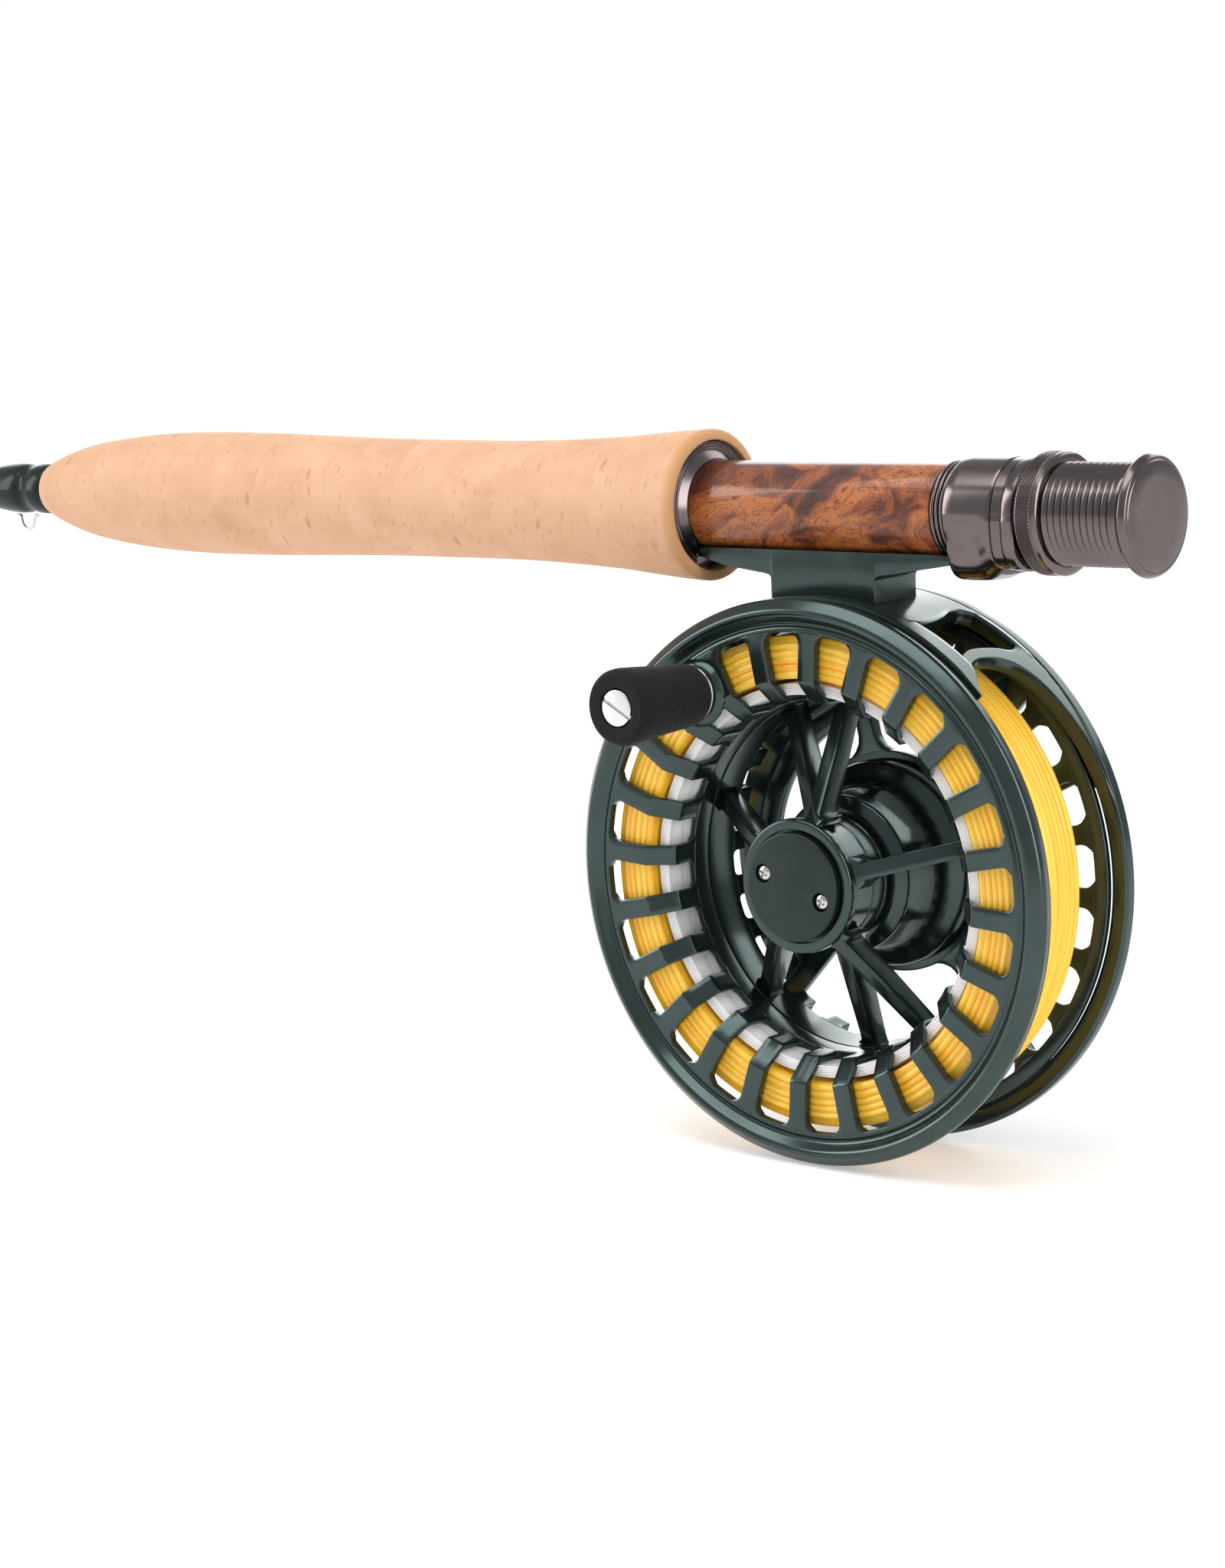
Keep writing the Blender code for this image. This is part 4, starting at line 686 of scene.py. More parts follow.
class BuildWindings(bpy.types.Operator):
    """Varnished thread at the grip and on the ferrules"""
    bl_idname = "rod.windings"
    bl_label = "Windings"

    def execute(self, context):
        low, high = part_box("grip_winding")
        # two swellings of varnish, by distance from the grip and height above the blank
        knots = [(0, 0.5), (1.2, 0.85), (4.2, 1.0), (6.9, 0.45), (9.4, 0.95), (14.5, 0.85), (18.5, 0.35),
                 (20, 0.12)]
        xs = np.linspace(0, (high.x - low.x) / MM, 70)
        outline = []
        for d, rise in zip(xs, spline(knots, xs)):
            x = high.x - d * MM
            outline.append((x, blank_radius(x) + rise * MM, 0))
        outline += [(x, blank_radius(x) + 0.02 * MM, 0) for x in (low.x, high.x)]
        obj = spun("grip_winding_varnished", outline, steps=72)
        finish_piece(obj, "rod_butt", MATERIALS["winding"], "thread_varnish", "grip_winding")
        for number, body in ((1, "section_2"), (2, "section_3"), (3, "section_4")):
            node = f"ferrule_wrap_{number}"
            low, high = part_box(node)
            base = [blank_radius(x) + 0.05 * MM for x in (high.x, low.x)]
            outline = [(high.x, base[0], 0), (high.x - 0.2 * MM, base[0] + 0.4 * MM, 0.0006),
                       (low.x + 1.2 * MM, base[1] + 0.4 * MM, 0.0012), (low.x, base[1], 0)]
            obj = spun(node + "_varnished", outline, steps=48)
            finish_piece(obj, body, MATERIALS["winding"], "thread_varnish", node)
        return {"FINISHED"}


class BuildHookKeeper(bpy.types.Operator):
    """Small wire loop that holds the hook"""
    bl_idname = "rod.hook_keeper"
    bl_label = "Hook keeper"

    def execute(self, context):
        low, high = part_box("hook_keeper")
        mid, half, top = (low.x + high.x) / 2, (high.x - low.x) / 2 - 1.2 * MM, high.z - 0.3 * MM
        points = [(high.x, 0, top), (mid + half + 0.3 * MM, 0, top)]
        for k in range(25):
            a = math.pi * k / 24
            points.append((mid + half * math.cos(a), 0, top - 0.3 * MM - 2.7 * MM * math.sin(a)))
        points += [(mid - half - 0.3 * MM, 0, top), (low.x, 0, top)]
        obj = wire("hook_keeper_wire", points, 0.33 * MM)
        finish_piece(obj, "rod_butt", MATERIALS["steel"], "stainless_steel", "hook_keeper")
        return {"FINISHED"}


GUIDE_BODIES = {1: "section_2", 2: "section_2", 3: "section_3", 4: "section_3", 5: "section_3",
                6: "section_4", 7: "section_4", 8: "section_4", 9: "section_4"}


class BuildGuides(bpy.types.Operator):
    """Snake guides, stripping guide and tip top, with the thread over their feet"""
    bl_idname = "rod.guides"
    bl_label = "Guides"

    def foot_winding(self, start, end, thickness):
        """Thread over one guide foot, from its thick end to its tapered one."""
        r1, r2 = blank_radius(start), blank_radius(end)
        outline = [(start, r1 + 0.02 * MM, 0), (start, r1 + thickness + 0.75 * MM, 0.0009),
                   (end, r2 + thickness * 0.4, 0.0009), (end, r2 + 0.02 * MM, 0)]
        return spun("foot_winding", outline, steps=40)

    def execute(self, context):
        sizes = context.scene.rod_sizes
        wraps = {"section_2": [], "section_3": [], "section_4": []}
        for number, body in GUIDE_BODIES.items():
            node = f"snake_guide_{number}"
            low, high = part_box(node)
            mid, loop, top = (low.x + high.x) / 2, (high.y - low.y) / 2 - sizes.wire, high.z - sizes.wire
            half = loop * 1.3
            points = [(high.x, 0, top), (mid + half + 0.8 * MM, 0, top)]
            for k in range(33):
                a = 2 * math.pi * k / 32
                along = mid + half - 2 * half * k / 32
                points.append((along, loop * math.sin(a), top - loop * (1 - math.cos(a))))
            points += [(mid - half - 0.8 * MM, 0, top), (low.x, 0, top)]
            obj = wire(node + "_wire", points, sizes.wire, resolution=2)
            finish_piece(obj, body, MATERIALS["steel"], "stainless_steel", node)
            wraps[body] += [self.foot_winding(mid + half + 1.6 * MM, high.x + 2.2 * MM, sizes.wrap),
                            self.foot_winding(mid - half - 1.6 * MM, low.x - 2.2 * MM, sizes.wrap)]
        low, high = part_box("stripping_guide_frame")
        mid, outer = (low.x + high.x) / 2, (high.y - low.y) / 2
        centre = Vector((mid, 0, low.z + outer))
        half, inner = 0.7 * MM, outer - 0.9 * MM
        section = [(-half, outer, 0.0002), (half, outer, 0.0002), (half, inner, 0.0002), (-half, inner, 0.0002)]
        hoop = spun("guide_hoop", section, centre=centre, steps=64)
        legs = []
        for side in (1, -1):
            edge = high.x if side > 0 else low.x
            top = high.z - 0.55 * MM
            for spread in (-1, 1):
                points = [(edge, 0, top), (edge - side * 8 * MM, 0, top)]
                for k in range(1, 9):
                    t = ease(k / 8)
                    points.append((mix(edge - side * 8 * MM, mid, k / 8), spread * 3.4 * MM * t,
                                   mix(top, centre.z + outer * 0.86, t)))
                legs.append(wire("guide_leg", points, 0.5 * MM, resolution=2))
            thick_end, thin_end = edge - side * 7.5 * MM, edge + side * 2.5 * MM
            wraps["section_2"].append(self.foot_winding(thick_end, thin_end, sizes.wrap))
        obj = joined("stripping_guide_hoop", [hoop, *legs])
        finish_piece(obj, "section_2", MATERIALS["gunmetal"], "gunmetal", "stripping_guide_frame")
        low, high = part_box("stripping_guide_ring")
        ring = (high.y - low.y) / 2
        section = [(-0.9 * MM, ring, 0.0002), (0.9 * MM, ring, 0.0002), (0.9 * MM, ring - 0.5 * MM, 0.0003),
                   (0, ring - 0.9 * MM, 0.0006), (-0.9 * MM, ring - 0.5 * MM, 0.0003)]
        obj = spun("stripping_guide_insert", section, centre=centre, steps=64)
        finish_piece(obj, "section_2", MATERIALS["ceramic"], "guide_ceramic", "stripping_guide_ring")
        low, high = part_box("tip_top")
        inner = blank_radius(high.x) + 0.1 * MM
        end = low.x + 0.4 * MM
        tube = spun("tip_tube", [(high.x, inner + 0.4 * MM, 0.0002), (end, inner + 0.2 * MM, 0.0002),
                                 (end, inner - 0.4 * MM, 0), (high.x, inner, 0)], steps=32)
        points = []
        bend = 2.8 * MM
        for k in range(32):
            a = 2 * math.pi * k / 32
            points.append((low.x + 0.6 * MM, bend * math.sin(a), low.z + 3.25 * MM - bend * math.cos(a)))
        loop = wire("tip_loop", points, sizes.wire, closed=True, resolution=2)
        obj = joined("tip_top_loop", [tube, loop])
        finish_piece(obj, "section_4", MATERIALS["steel"], "stainless_steel", "tip_top")
        for body, pieces in wraps.items():
            obj = joined("guide_windings_" + body, pieces)
            finish_piece(obj, body, MATERIALS["winding"], "thread_varnish")
        return {"FINISHED"}


# ------------------------------------------------------------------ grip and seat
# (distance ahead of the reel's spindle, radius) along the cork, in millimetres
GRIP_OUTLINE = ((-211.0, 5.6), (-208.5, 6.6), (-203.0, 8.3), (-196.0, 9.9), (-188.0, 11.0), (-178.0, 11.9),
                (-168.0, 12.4), (-155.0, 12.55), (-141.0, 12.35), (-126.0, 11.95), (-112.0, 11.6),
                (-92.0, 11.4), (-72.0, 11.4), (-57.0, 11.9), (-48.0, 12.4), (-41.0, 13.0), (-35.0, 13.5),
                (-30.5, 13.8))
GRIP_BORE = 5.25 * MM
SEAT_BORE = 5.15 * MM


class BuildGrip(bpy.types.Operator):
    """Cork grip with a rounded lip round the seat's front ring"""
    bl_idname = "rod.grip"
    bl_label = "Cork grip"

    def execute(self, context):
        lip = context.scene.rod_sizes.cork_lip
        low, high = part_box("cork_grip")
        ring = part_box("seat_front_ring")[1].z
        xs = np.linspace(GRIP_OUTLINE[0][0], GRIP_OUTLINE[-1][0], 110)
        outline = [(low.x, GRIP_BORE, 0), (low.x, 5.4 * MM, 0)]
        outline += [(REEL.x + x * MM, r * MM, 0) for x, r in zip(xs, spline(GRIP_OUTLINE, xs))]
        outline += [(high.x - 0.3 * MM, high.z - 0.05 * MM, lip), (high.x, high.z - 1.4 * MM, 0.0006),
                    (high.x - 0.1 * MM, ring + 0.1 * MM, 0.0002), (high.x - 6 * MM, ring + 0.1 * MM, 0),
                    (high.x - 6 * MM, GRIP_BORE, 0)]
        obj = spun("cork_grip_shaped", outline, steps=160)
        finish_piece(obj, "rod_butt", MATERIALS["cork"], "cork", "cork_grip")
        return {"FINISHED"}


class BuildSeatRings(bpy.types.Operator):
    """Front ring in the cork, wood insert and trim ring"""
    bl_idname = "rod.seat_rings"
    bl_label = "Seat rings"

    def execute(self, context):
        low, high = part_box("seat_front_ring")
        x, r = high.x, high.z
        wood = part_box("wood_insert")[1].z
        outline = [(low.x, wood + 0.06 * MM, 0), (low.x, r, 0), (x + 0.1 * MM, r, 0.0002)]
        for k in range(3):
            top, step = r - (0.2 + 0.52 * k) * MM, 0.1 * k * MM
            outline += [(x + 0.25 * MM + step, top, 0.0001), (x + 0.3 * MM + step, top - 0.28 * MM, 0.0001),
                        (x + 0.1 * MM + step, top - 0.36 * MM, 0.0001)]
        outline += [(x + 0.15 * MM, r - 1.75 * MM, 0.0001), (x + 1.2 * MM, wood + 0.35 * MM, 0.0002),
                    (x + 1.2 * MM, wood + 0.06 * MM, 0)]
        obj = spun("seat_front_ring_turned", outline, steps=144)
        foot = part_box("reel_foot")
        pocket = block((x, 0, foot[1].z - 2.5 * MM), (2 * (x - foot[0].x) + 1.2 * MM, 10.2 * MM, 5.0 * MM))
        cut(obj, broken_edges(pocket, 0.8 * MM, 4))
        finish_piece(obj, "rod_butt", MATERIALS["gunmetal"], "gunmetal", "seat_front_ring")
        low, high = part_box("wood_insert")
        outline = [(low.x, SEAT_BORE, 0), (low.x, wood, 0.0002), (high.x, wood, 0.0002),
                   (high.x, SEAT_BORE, 0)]
        obj = spun("wood_insert_turned", outline, steps=144)
        finish_piece(obj, "rod_butt", MATERIALS["burl"], "burl_wood", "wood_insert")
        low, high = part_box("trim_ring")
        r, span = high.y, high.x - low.x
        neck = wood + 0.05 * MM
        outline = [(low.x, SEAT_BORE, 0), (low.x, neck, 0.0001)]
        for k in range(3):
            start = low.x + span * (0.08 + 0.31 * k)
            outline += [(start, neck, 0.0001), (start + 0.12 * MM, r + 0.1 * MM, 0.0003),
                        (start + 0.68 * MM, r + 0.1 * MM, 0.0003), (start + 0.8 * MM, neck, 0.0001)]
        outline += [(high.x, neck, 0), (high.x, SEAT_BORE, 0)]
        ring = spun("trim_ring_turned", outline, steps=120)
        pick(ring)
        bpy.ops.object.mode_set(mode="EDIT")
        bpy.ops.mesh.select_all(action="SELECT")
        bpy.ops.mesh.bisect(plane_co=(0, 0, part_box("trim_ring")[0].z), plane_no=(0, 0, 1), use_fill=True,
                            clear_inner=True)
        bpy.ops.object.mode_set(mode="OBJECT")
        finish_piece(ring, "rod_butt", MATERIALS["gunmetal"], "gunmetal", "trim_ring")
        return {"FINISHED"}


class BuildBarrel(bpy.types.Operator):
    """Threaded barrel with rounded ridges, and the butt cap with its lip"""
    bl_idname = "rod.barrel"
    bl_label = "Barrel and cap"

    def execute(self, context):
        sizes = context.scene.rod_sizes
        low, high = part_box("threaded_barrel")
        crest, pitch, depth = high.z + 0.15 * MM, sizes.thread_pitch, sizes.thread_depth
        start = low.x + 5.0 * MM
        count = int((high.x - start) / pitch)
        plain = crest - 0.7 * MM
        outline = [(low.x, SEAT_BORE, 0), (low.x, plain, 0), (start - 0.2 * MM, plain, 0)]
        for k in range(count * 12 + 1):
            t = k / 12
            wave = abs(math.cos(math.pi * t)) ** 0.75
            outline.append((start + t * pitch, crest - depth * (1 - (1 - wave) ** 0.5), 0))
        outline += [(high.x, crest - depth, 0), (high.x, SEAT_BORE, 0)]
        obj = spun("threaded_barrel_turned", outline, steps=120)
        finish_piece(obj, "rod_butt", MATERIALS["gunmetal"], "gunmetal", "threaded_barrel", smooth=60)
        low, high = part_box("butt_cap")
        x, r = high.x, high.z
        body = x - 3.0 * MM
        outline = [(low.x, 0, 0), (low.x, 4.85 * MM, 0), (body - 0.1 * MM, 4.85 * MM, 0),
                   (body - 0.1 * MM, r - 1.5 * MM, 0.0002), (body + 0.3 * MM, r - 1.3 * MM, 0.0003),
                   (body + 1.0 * MM, r - 0.25 * MM, 0.0005), (x - 1.5 * MM, r, 0.0007),
                   (x - 0.5 * MM, r - 0.5 * MM, 0.0004), (x - 0.32 * MM, r - 1.0 * MM, 0.0001),
                   (x - 0.42 * MM, r - 1.15 * MM, 0.0001),
                   (x - 0.22 * MM, r - 1.35 * MM, 0.0002), (x - 0.02 * MM, r - 3.4 * MM, 0.0012), (x, 0, 0)]
        obj = spun("butt_cap_turned", outline, steps=128, closed=False)
        finish_piece(obj, "rod_butt", MATERIALS["gunmetal"], "gunmetal", "butt_cap", smooth=50)
        return {"FINISHED"}


class BuildHood(bpy.types.Operator):
    """Sliding hood, drawn down at the bottom into the pocket for the foot"""
    bl_idname = "rod.hood"
    bl_label = "Sliding hood"

    def execute(self, context):
        low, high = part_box("sliding_hood")
        outer, drop, length = high.z, -low.z, high.x - low.x
        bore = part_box("threaded_barrel")[1].z + 0.3 * MM
        turns = 144
        # (distance from the front, height above the collar) of each section, in millimetres
        rows = [(0.0, -0.25), (0.15, -0.08), (0.4, 0), (2, 0), (4, 0), (6, 0), (7.4, 0), (8.4, 0), (9.2, 0),
                (9.6, 0), (9.75, -0.05), (9.85, -0.28), (10.05, -0.28), (10.15, -0.12), (11.9, -0.12),
                (12.0, -0.3), (12.2, -0.3), (12.3, -0.02), (12.6, 0.05), (length / MM - 0.3, 0.05),
                (length / MM, -0.3)]
        rings = []
        for x, lift in rows:
            reach = 1 - ease((x - 5.2) / 4.6)
            ring = []
            for k in range(turns):
                a = 2 * math.pi * k / turns
                side, down = math.sin(a), -math.cos(a)
                r = outer + lift * MM
                if down < 0:
                    wide = mix(outer, 8.6 * MM, reach)
                    deep = mix(outer, drop, reach)
                    past = (abs(side / wide) ** 3.6 + abs(down / deep) ** 3.6) ** (-1 / 3.6) / outer - 1
                    r *= 1 + 0.5 * (past + math.hypot(past, 0.03)) - 0.015 * reach
                ring.append((low.x + x * MM, r * side, r * down))
            rings.append(ring)
        for x in (length / MM, 9.0, 8.9, 0.8, 0.0):
            ring = []
            for k in range(turns):
                a = 2 * math.pi * k / turns
                side, down = math.sin(a), -math.cos(a)
                r = bore
                if x < 8.95 and down < 0:
                    wide, deep = 6.3 * MM, drop - 1.3 * MM
                    r = max(r, (abs(side / wide) ** 5 + abs(down / deep) ** 5) ** (-1 / 5))
                ring.append((low.x + x * MM, r * side, r * down))
            rings.append(ring)
        obj = loft("sliding_hood_drawn", rings, closed=True)
        finish_piece(obj, "hood_slider", MATERIALS["gunmetal"], "gunmetal", "sliding_hood", smooth=38)
        return {"FINISHED"}


class BuildLockRing(bpy.types.Operator):
    """Lock ring with a diamond-knurled band and a plain lip"""
    bl_idname = "rod.lock_ring"
    bl_label = "Lock ring"

    def execute(self, context):
        sizes = context.scene.rod_sizes
        low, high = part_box("lock_ring")
        r, bore = high.z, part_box("threaded_barrel")[1].z + 0.3 * MM
        turns = sizes.knurl_count * 8
        rows = [(0.0, -1.0), (0.12, -0.75), (0.5, -0.55)]
        knurl = np.linspace(0.62, 3.62, 41)
        rings = []
        for x, lift in rows:
            rings.append((x, [r + lift * MM] * turns))
        for x in knurl:
            fade = ease((x - 0.62) / 0.25) * ease((3.62 - x) / 0.25)
            radii = []
            for k in range(turns):
                u = k / 8
                v = (x - 0.62) / 0.60
                a = abs(2 * ((u + v) % 1) - 1)
                b = abs(2 * ((u - v) % 1) - 1)
                radii.append(r - sizes.knurl_depth * (1 - min(a, b, 0.8) / 0.8 * fade) + 0.05 * MM)
            rings.append((x, radii))
        for x, lift in ((3.72, -0.28), (3.85, -0.10), (4.0, 0.0), (4.55, 0.0), (4.85, -0.25), (5.0, -0.6)):
            rings.append((x, [r + lift * MM] * turns))
        for x in (5.0, 0.0):
            rings.append((x, [bore] * turns))
        skin = []
        angles = [2 * math.pi * k / turns for k in range(turns)]
        for x, radii in rings:
            skin.append([(low.x + x * MM, q * math.sin(a), q * math.cos(a)) for a, q in zip(angles, radii)])
        obj = loft("lock_ring_knurled", skin, closed=True)
        finish_piece(obj, "lock_nut", MATERIALS["gunmetal"], "gunmetal", "lock_ring", smooth=28)
        return {"FINISHED"}


# ------------------------------------------------------------------ reel foot and frame
class BuildFoot(bpy.types.Operator):
    """Reel foot: saddle with tapering arms, and the stem down to the frame"""
    bl_idname = "rod.foot"
    bl_label = "Reel foot"

    def execute(self, context):
        low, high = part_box("reel_foot")
        half_length, half_width, top = (high.x - low.x) / 2, high.y, low.z + 7.4 * MM
        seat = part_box("reel_frame")[1].z - REEL.z + 0.03 * MM
        left, right = -10.9, 11.75
        under = ((-31, -8.9), (-26.6, -8.95), (-21, -10.3), (-12.4, -11.35), (-11.3, -11.6), (left, -12.1),
                 (right, -12.1), (11.95, -11.55), (12.6, -11.2), (13.8, -11.0), (27.5, -8.9), (31, -8.6))
        xs = sorted({x for x, _ in under} | set(np.linspace(-30.9, -24, 14)) | set(np.linspace(24, 30.9, 14))
                    | {left + 0.02, right - 0.02} | set(np.linspace(left + 0.5, right - 0.5, 16)))
        rings = []
        for x in xs:
            taper = max(abs(x) - 24.5, 0) / (half_length / MM - 24.4)
            width = half_width * math.sqrt(max(1 - taper ** 2, 0.0))
            floor = np.interp(x, *zip(*under)) * MM
            if left < x < right:
                floor = REEL.z + math.sqrt(seat ** 2 - (x * MM) ** 2)
            crown = 1.2 * MM * (width / half_width) ** 2
            ring = [(REEL.x + x * MM, width * s, top + crown * s * s) for s in np.linspace(-1, 1, 9)]
            ring += [(REEL.x + x * MM, width * s, floor) for s in (1, 0.33, -0.33, -1)]
            rings.append(ring)
        obj = broken_edges(loft("reel_foot_machined", rings), 0.28 * MM, 2, 38)
        finish_piece(obj, "rod_butt", MATERIALS["anodised"], "green_anodised", "reel_foot", smooth=32)
        return {"FINISHED"}


def bar_strip(name, path, angle=0.0, edge=0.25 * MM):
    """A bar of even width about the spindle. path holds ((front radius, y), (back radius, y), half width)."""
    rings = []
    for (r1, y1), (r2, y2), half in path:
        ring = []
        for radius, y, sides in ((r1, y1, (-1, -0.33, 0.33, 1)), (r2, y2, (1, 0.33, -0.33, -1))):
            for s in sides:
                turn = angle + math.asin(min(s * half / radius, 1))
                ring.append(polar(radius, turn, y))
        rings.append(ring)
    obj = loft(name, rings)
    return broken_edges(obj, edge, 2, 42)


def flare(distance, corner):
    """Extra half width next to a round corner, at a distance from the slot's end."""
    if distance >= corner:
        return 0.0
    distance = max(distance, 0.0)
    return corner - math.sqrt(max(corner ** 2 - (corner - distance) ** 2, 0.0))


def panel(name, rows, inner, outer, columns=10, edge=0.35 * MM):
    """A plate bent about the spindle; each row runs from one (angle in degrees, y in mm) to another."""
    rings = []
    for (a1, y1), (a2, y2) in rows:
        ring = []
        for radius, order in ((outer, range(columns + 1)), (inner, range(columns, -1, -1))):
            for k in order:
                t = k / columns
                ring.append(polar(radius, math.radians(mix(a1, a2, t)), mix(y1, y2, t) * MM))
        rings.append(ring)
    return broken_edges(loft(name, rings), edge, 2, 42)


class BuildFrame(bpy.types.Operator):
    """One-piece frame: rim, disc, arms and bridge at the back, top plate, posts and front band"""
    bl_idname = "rod.reel_frame"
    bl_label = "Reel frame"

    def execute(self, context):
        low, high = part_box("reel_frame")
        outer, rear, front = (high.x - low.x) / 2, high.y, low.y
        inner, plate, band = outer - 2.8 * MM, rear - 1.9 * MM, rear - 3.0 * MM
        pieces = []
        rim = [(band + 0.3 * MM, inner, 0.0002), (band, outer - 0.6 * MM, 0.0002),
               (band + 0.4 * MM, outer, 0.0002), (rear - 0.6 * MM, outer, 0.0002),
               (rear, outer - 0.7 * MM, 0.0003), (rear, inner - 1.0 * MM, 0.0003),
               (plate, inner - 1.0 * MM, 0.0003), (plate, inner, 0.0003)]
        pieces.append(spun("frame_rim", rim, "Y", REEL, 240))
        hole, disc = 6.0 * MM, 20.5 * MM
        hub = [(plate, hole, 0.0003), (plate, disc, 0.0003), (rear, disc, 0.0003), (rear, hole, 0.0003)]
        pieces.append(spun("hub_disc", hub, "Y", REEL, 128))

        def spoke_path(start, end, half, corner, steps=15):
            path = []
            for k in range(steps):
                r = mix(start, end, k / (steps - 1))
                wide = half + flare(r - start - 0.5 * MM, corner) + flare(end - 0.5 * MM - r, corner)
                sink = 0.02 * MM if k in (0, steps - 1) else 0.0
                path.append(((r, plate + sink), (r, rear - sink), wide))
            return path

        arm = bar_strip("arm", spoke_path(20.0 * MM, inner - 0.5 * MM, 2.1 * MM, 3.2 * MM, 25))
        pieces.append(around("arms", arm, [math.radians(a) for a in (-12, 64, 140, 222)]))
        # curved bridge with a lower step, and the thick roots of the posts:
        # first and last angle, inner and outer radius, depth below the plate's front
        for first, last, r1, r2, y1 in ((-135.5, -15, 26.5, 30.5, 0.0), (-135.5, -15, 30.4, 36.5, 0.9),
                                        (20, 43.5, 40.0, 47.4, 0.3), (-43.5, -20, 40.0, 47.4, 0.3)):
            rings = []
            for a in np.linspace(first, last, 50):
                turn = math.radians(a)
                rings.append([polar(r1 * MM, turn, plate + y1 * MM), polar(r2 * MM, turn, plate + y1 * MM),
                              polar(r2 * MM, turn, rear - 0.01 * MM), polar(r1 * MM, turn, rear - 0.01 * MM)])
            pieces.append(broken_edges(loft("bridge", rings), 0.3 * MM))

        # edges of the top plate and of the posts: (y in millimetres, angle in degrees)
        ys = np.linspace(-7.5, 12.3, 30)
        edge = spline([(-7.5, 23.1), (-3.6, 24.1), (0, 23.9), (2.4, 23.3), (8.1, 21.7), (9.6, 22.2),
                       (10.9, 24.2), (12.3, 26.5)], ys)
        top = [((-e, y), (e, y)) for y, e in zip(ys, edge)]
        pieces.append(panel("top_plate", top, inner, outer, 36))
        for sign, tag in ((1, "right"), (-1, "left")):
            rows = [((sign * 22, y), (sign * 40, y)) for y in (10.9, 11.4, 12.5)]
            pieces.append(panel("window_rail_" + tag, rows, inner, outer - 0.01 * MM, 10))
        ramp = []
        for a in np.linspace(-46, 46, 61):
            fade = ease((46 - abs(a)) / 8)
            ramp.append(((a, front / MM), (a, mix(front / MM + 0.4, front / MM + 4.6, fade))))
        pieces.append(panel("front_band", ramp, inner, outer - 0.02 * MM, 6))
        ys = np.linspace(-9.5, 12.3, 34)
        left = spline([(-9.5, 35.0), (-7.1, 36.2), (-5.0, 35.2), (-2.3, 34.4), (1, 34.5), (4.8, 35.2),
                       (8.9, 36.4), (10.4, 35.6), (12.3, 32.5)], ys)
        right = spline([(-9.5, 43.0), (-7.5, 40.0), (-5.9, 38.6), (0.5, 37.4), (4.0, 38.8), (6.2, 41.0),
                        (8.75, 47.5), (10.2, 55.5), (11.2, 63.5), (12.3, 78)], ys)
        for sign, tag in ((1, "right"), (-1, "left")):
            rows = [((sign * a, y), (sign * b, y)) for y, a, b in zip(ys, left, right)]
            pieces.append(panel("post_" + tag, rows, inner, outer - 0.03 * MM, 8))
        obj = joined("reel_frame_machined", pieces)
        finish_piece(obj, "rod_butt", MATERIALS["anodised"], "green_anodised", "reel_frame", smooth=32)
        return {"FINISHED"}


class BuildDrag(bpy.types.Operator):
    """Bell-shaped drag housing and the ribbed drag knob behind the frame"""
    bl_idname = "rod.drag"
    bl_label = "Drag"

    def execute(self, context):
        low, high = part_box("drag_housing")
        outline = [(low.y, 3.3 * MM, 0), (low.y, 12.2 * MM, 0.0004), (low.y + 1.2 * MM, 14.3 * MM, 0.0006),
                   (low.y + 2.0 * MM, 14.4 * MM, 0.0003), (low.y + 2.4 * MM, 13.7 * MM, 0.0004),
                   (4.2 * MM, 13.7 * MM, 0.0020), (8.2 * MM, 15.2 * MM, 0.0024),
                   (9.9 * MM, 18.9 * MM, 0.0008), (high.y, 19.1 * MM, 0.0003), (high.y, 12.0 * MM, 0),
                   (low.y + 2.2 * MM, 12.0 * MM, 0), (low.y + 2.2 * MM, 3.3 * MM, 0)]
        obj = spun("drag_housing_turned", outline, "Y", REEL, 128)
        finish_piece(obj, "rod_butt", MATERIALS["anodised"], "green_anodised", "drag_housing", smooth=35)
        low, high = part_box("drag_knob")
        face, radius = high.y, (high.x - low.x) / 2
        flange, shaft, back = 8.8 * MM, 4.5 * MM, 15.5 * MM
        outline = [(low.y, 0, 0), (low.y, flange, 0), (low.y + 0.8 * MM, flange, 0),
                   (low.y + 0.8 * MM, shaft, 0), (back, shaft, 0), (back, radius - 0.2 * MM, 0.0003),
                   (face - 0.8 * MM, radius, 0.0009), (face, radius - 1.8 * MM, 0.0006),
                   (face - 0.5 * MM, radius - 4.5 * MM, 0.0006), (face - 0.5 * MM, 0, 0)]
        knob = spun("drag_knob_turned", outline, "Y", REEL, 144, closed=False)
        bpy.ops.mesh.primitive_cylinder_add(vertices=20, radius=1.15 * MM, depth=14 * MM,
                                            location=REEL + Vector((0, 19.4 * MM, radius + 0.45 * MM)),
                                            rotation=(math.radians(90), 0, 0))
        groove = bpy.context.active_object
        bpy.ops.object.transform_apply(location=True, rotation=True, scale=True)
        grooves = around("knob_grooves", groove, [2 * math.pi * k / 20 for k in range(20)])
        cut(knob, grooves)
        finish_piece(knob, "drag_control", MATERIALS["anodised"], "green_anodised", "drag_knob", smooth=32)
        return {"FINISHED"}


# ------------------------------------------------------------------ spool
# angle at the hub and angle at the arbor of each spoke, in degrees
SPOKES = ((19, -25), (14, -1.5), (75, 75.5), (141, 151.5), (133, 175.5), (212, 221.5), (303, 290))
REAR_SLOT = 44.9 * MM
REAR_EDGE = 47.4 * MM


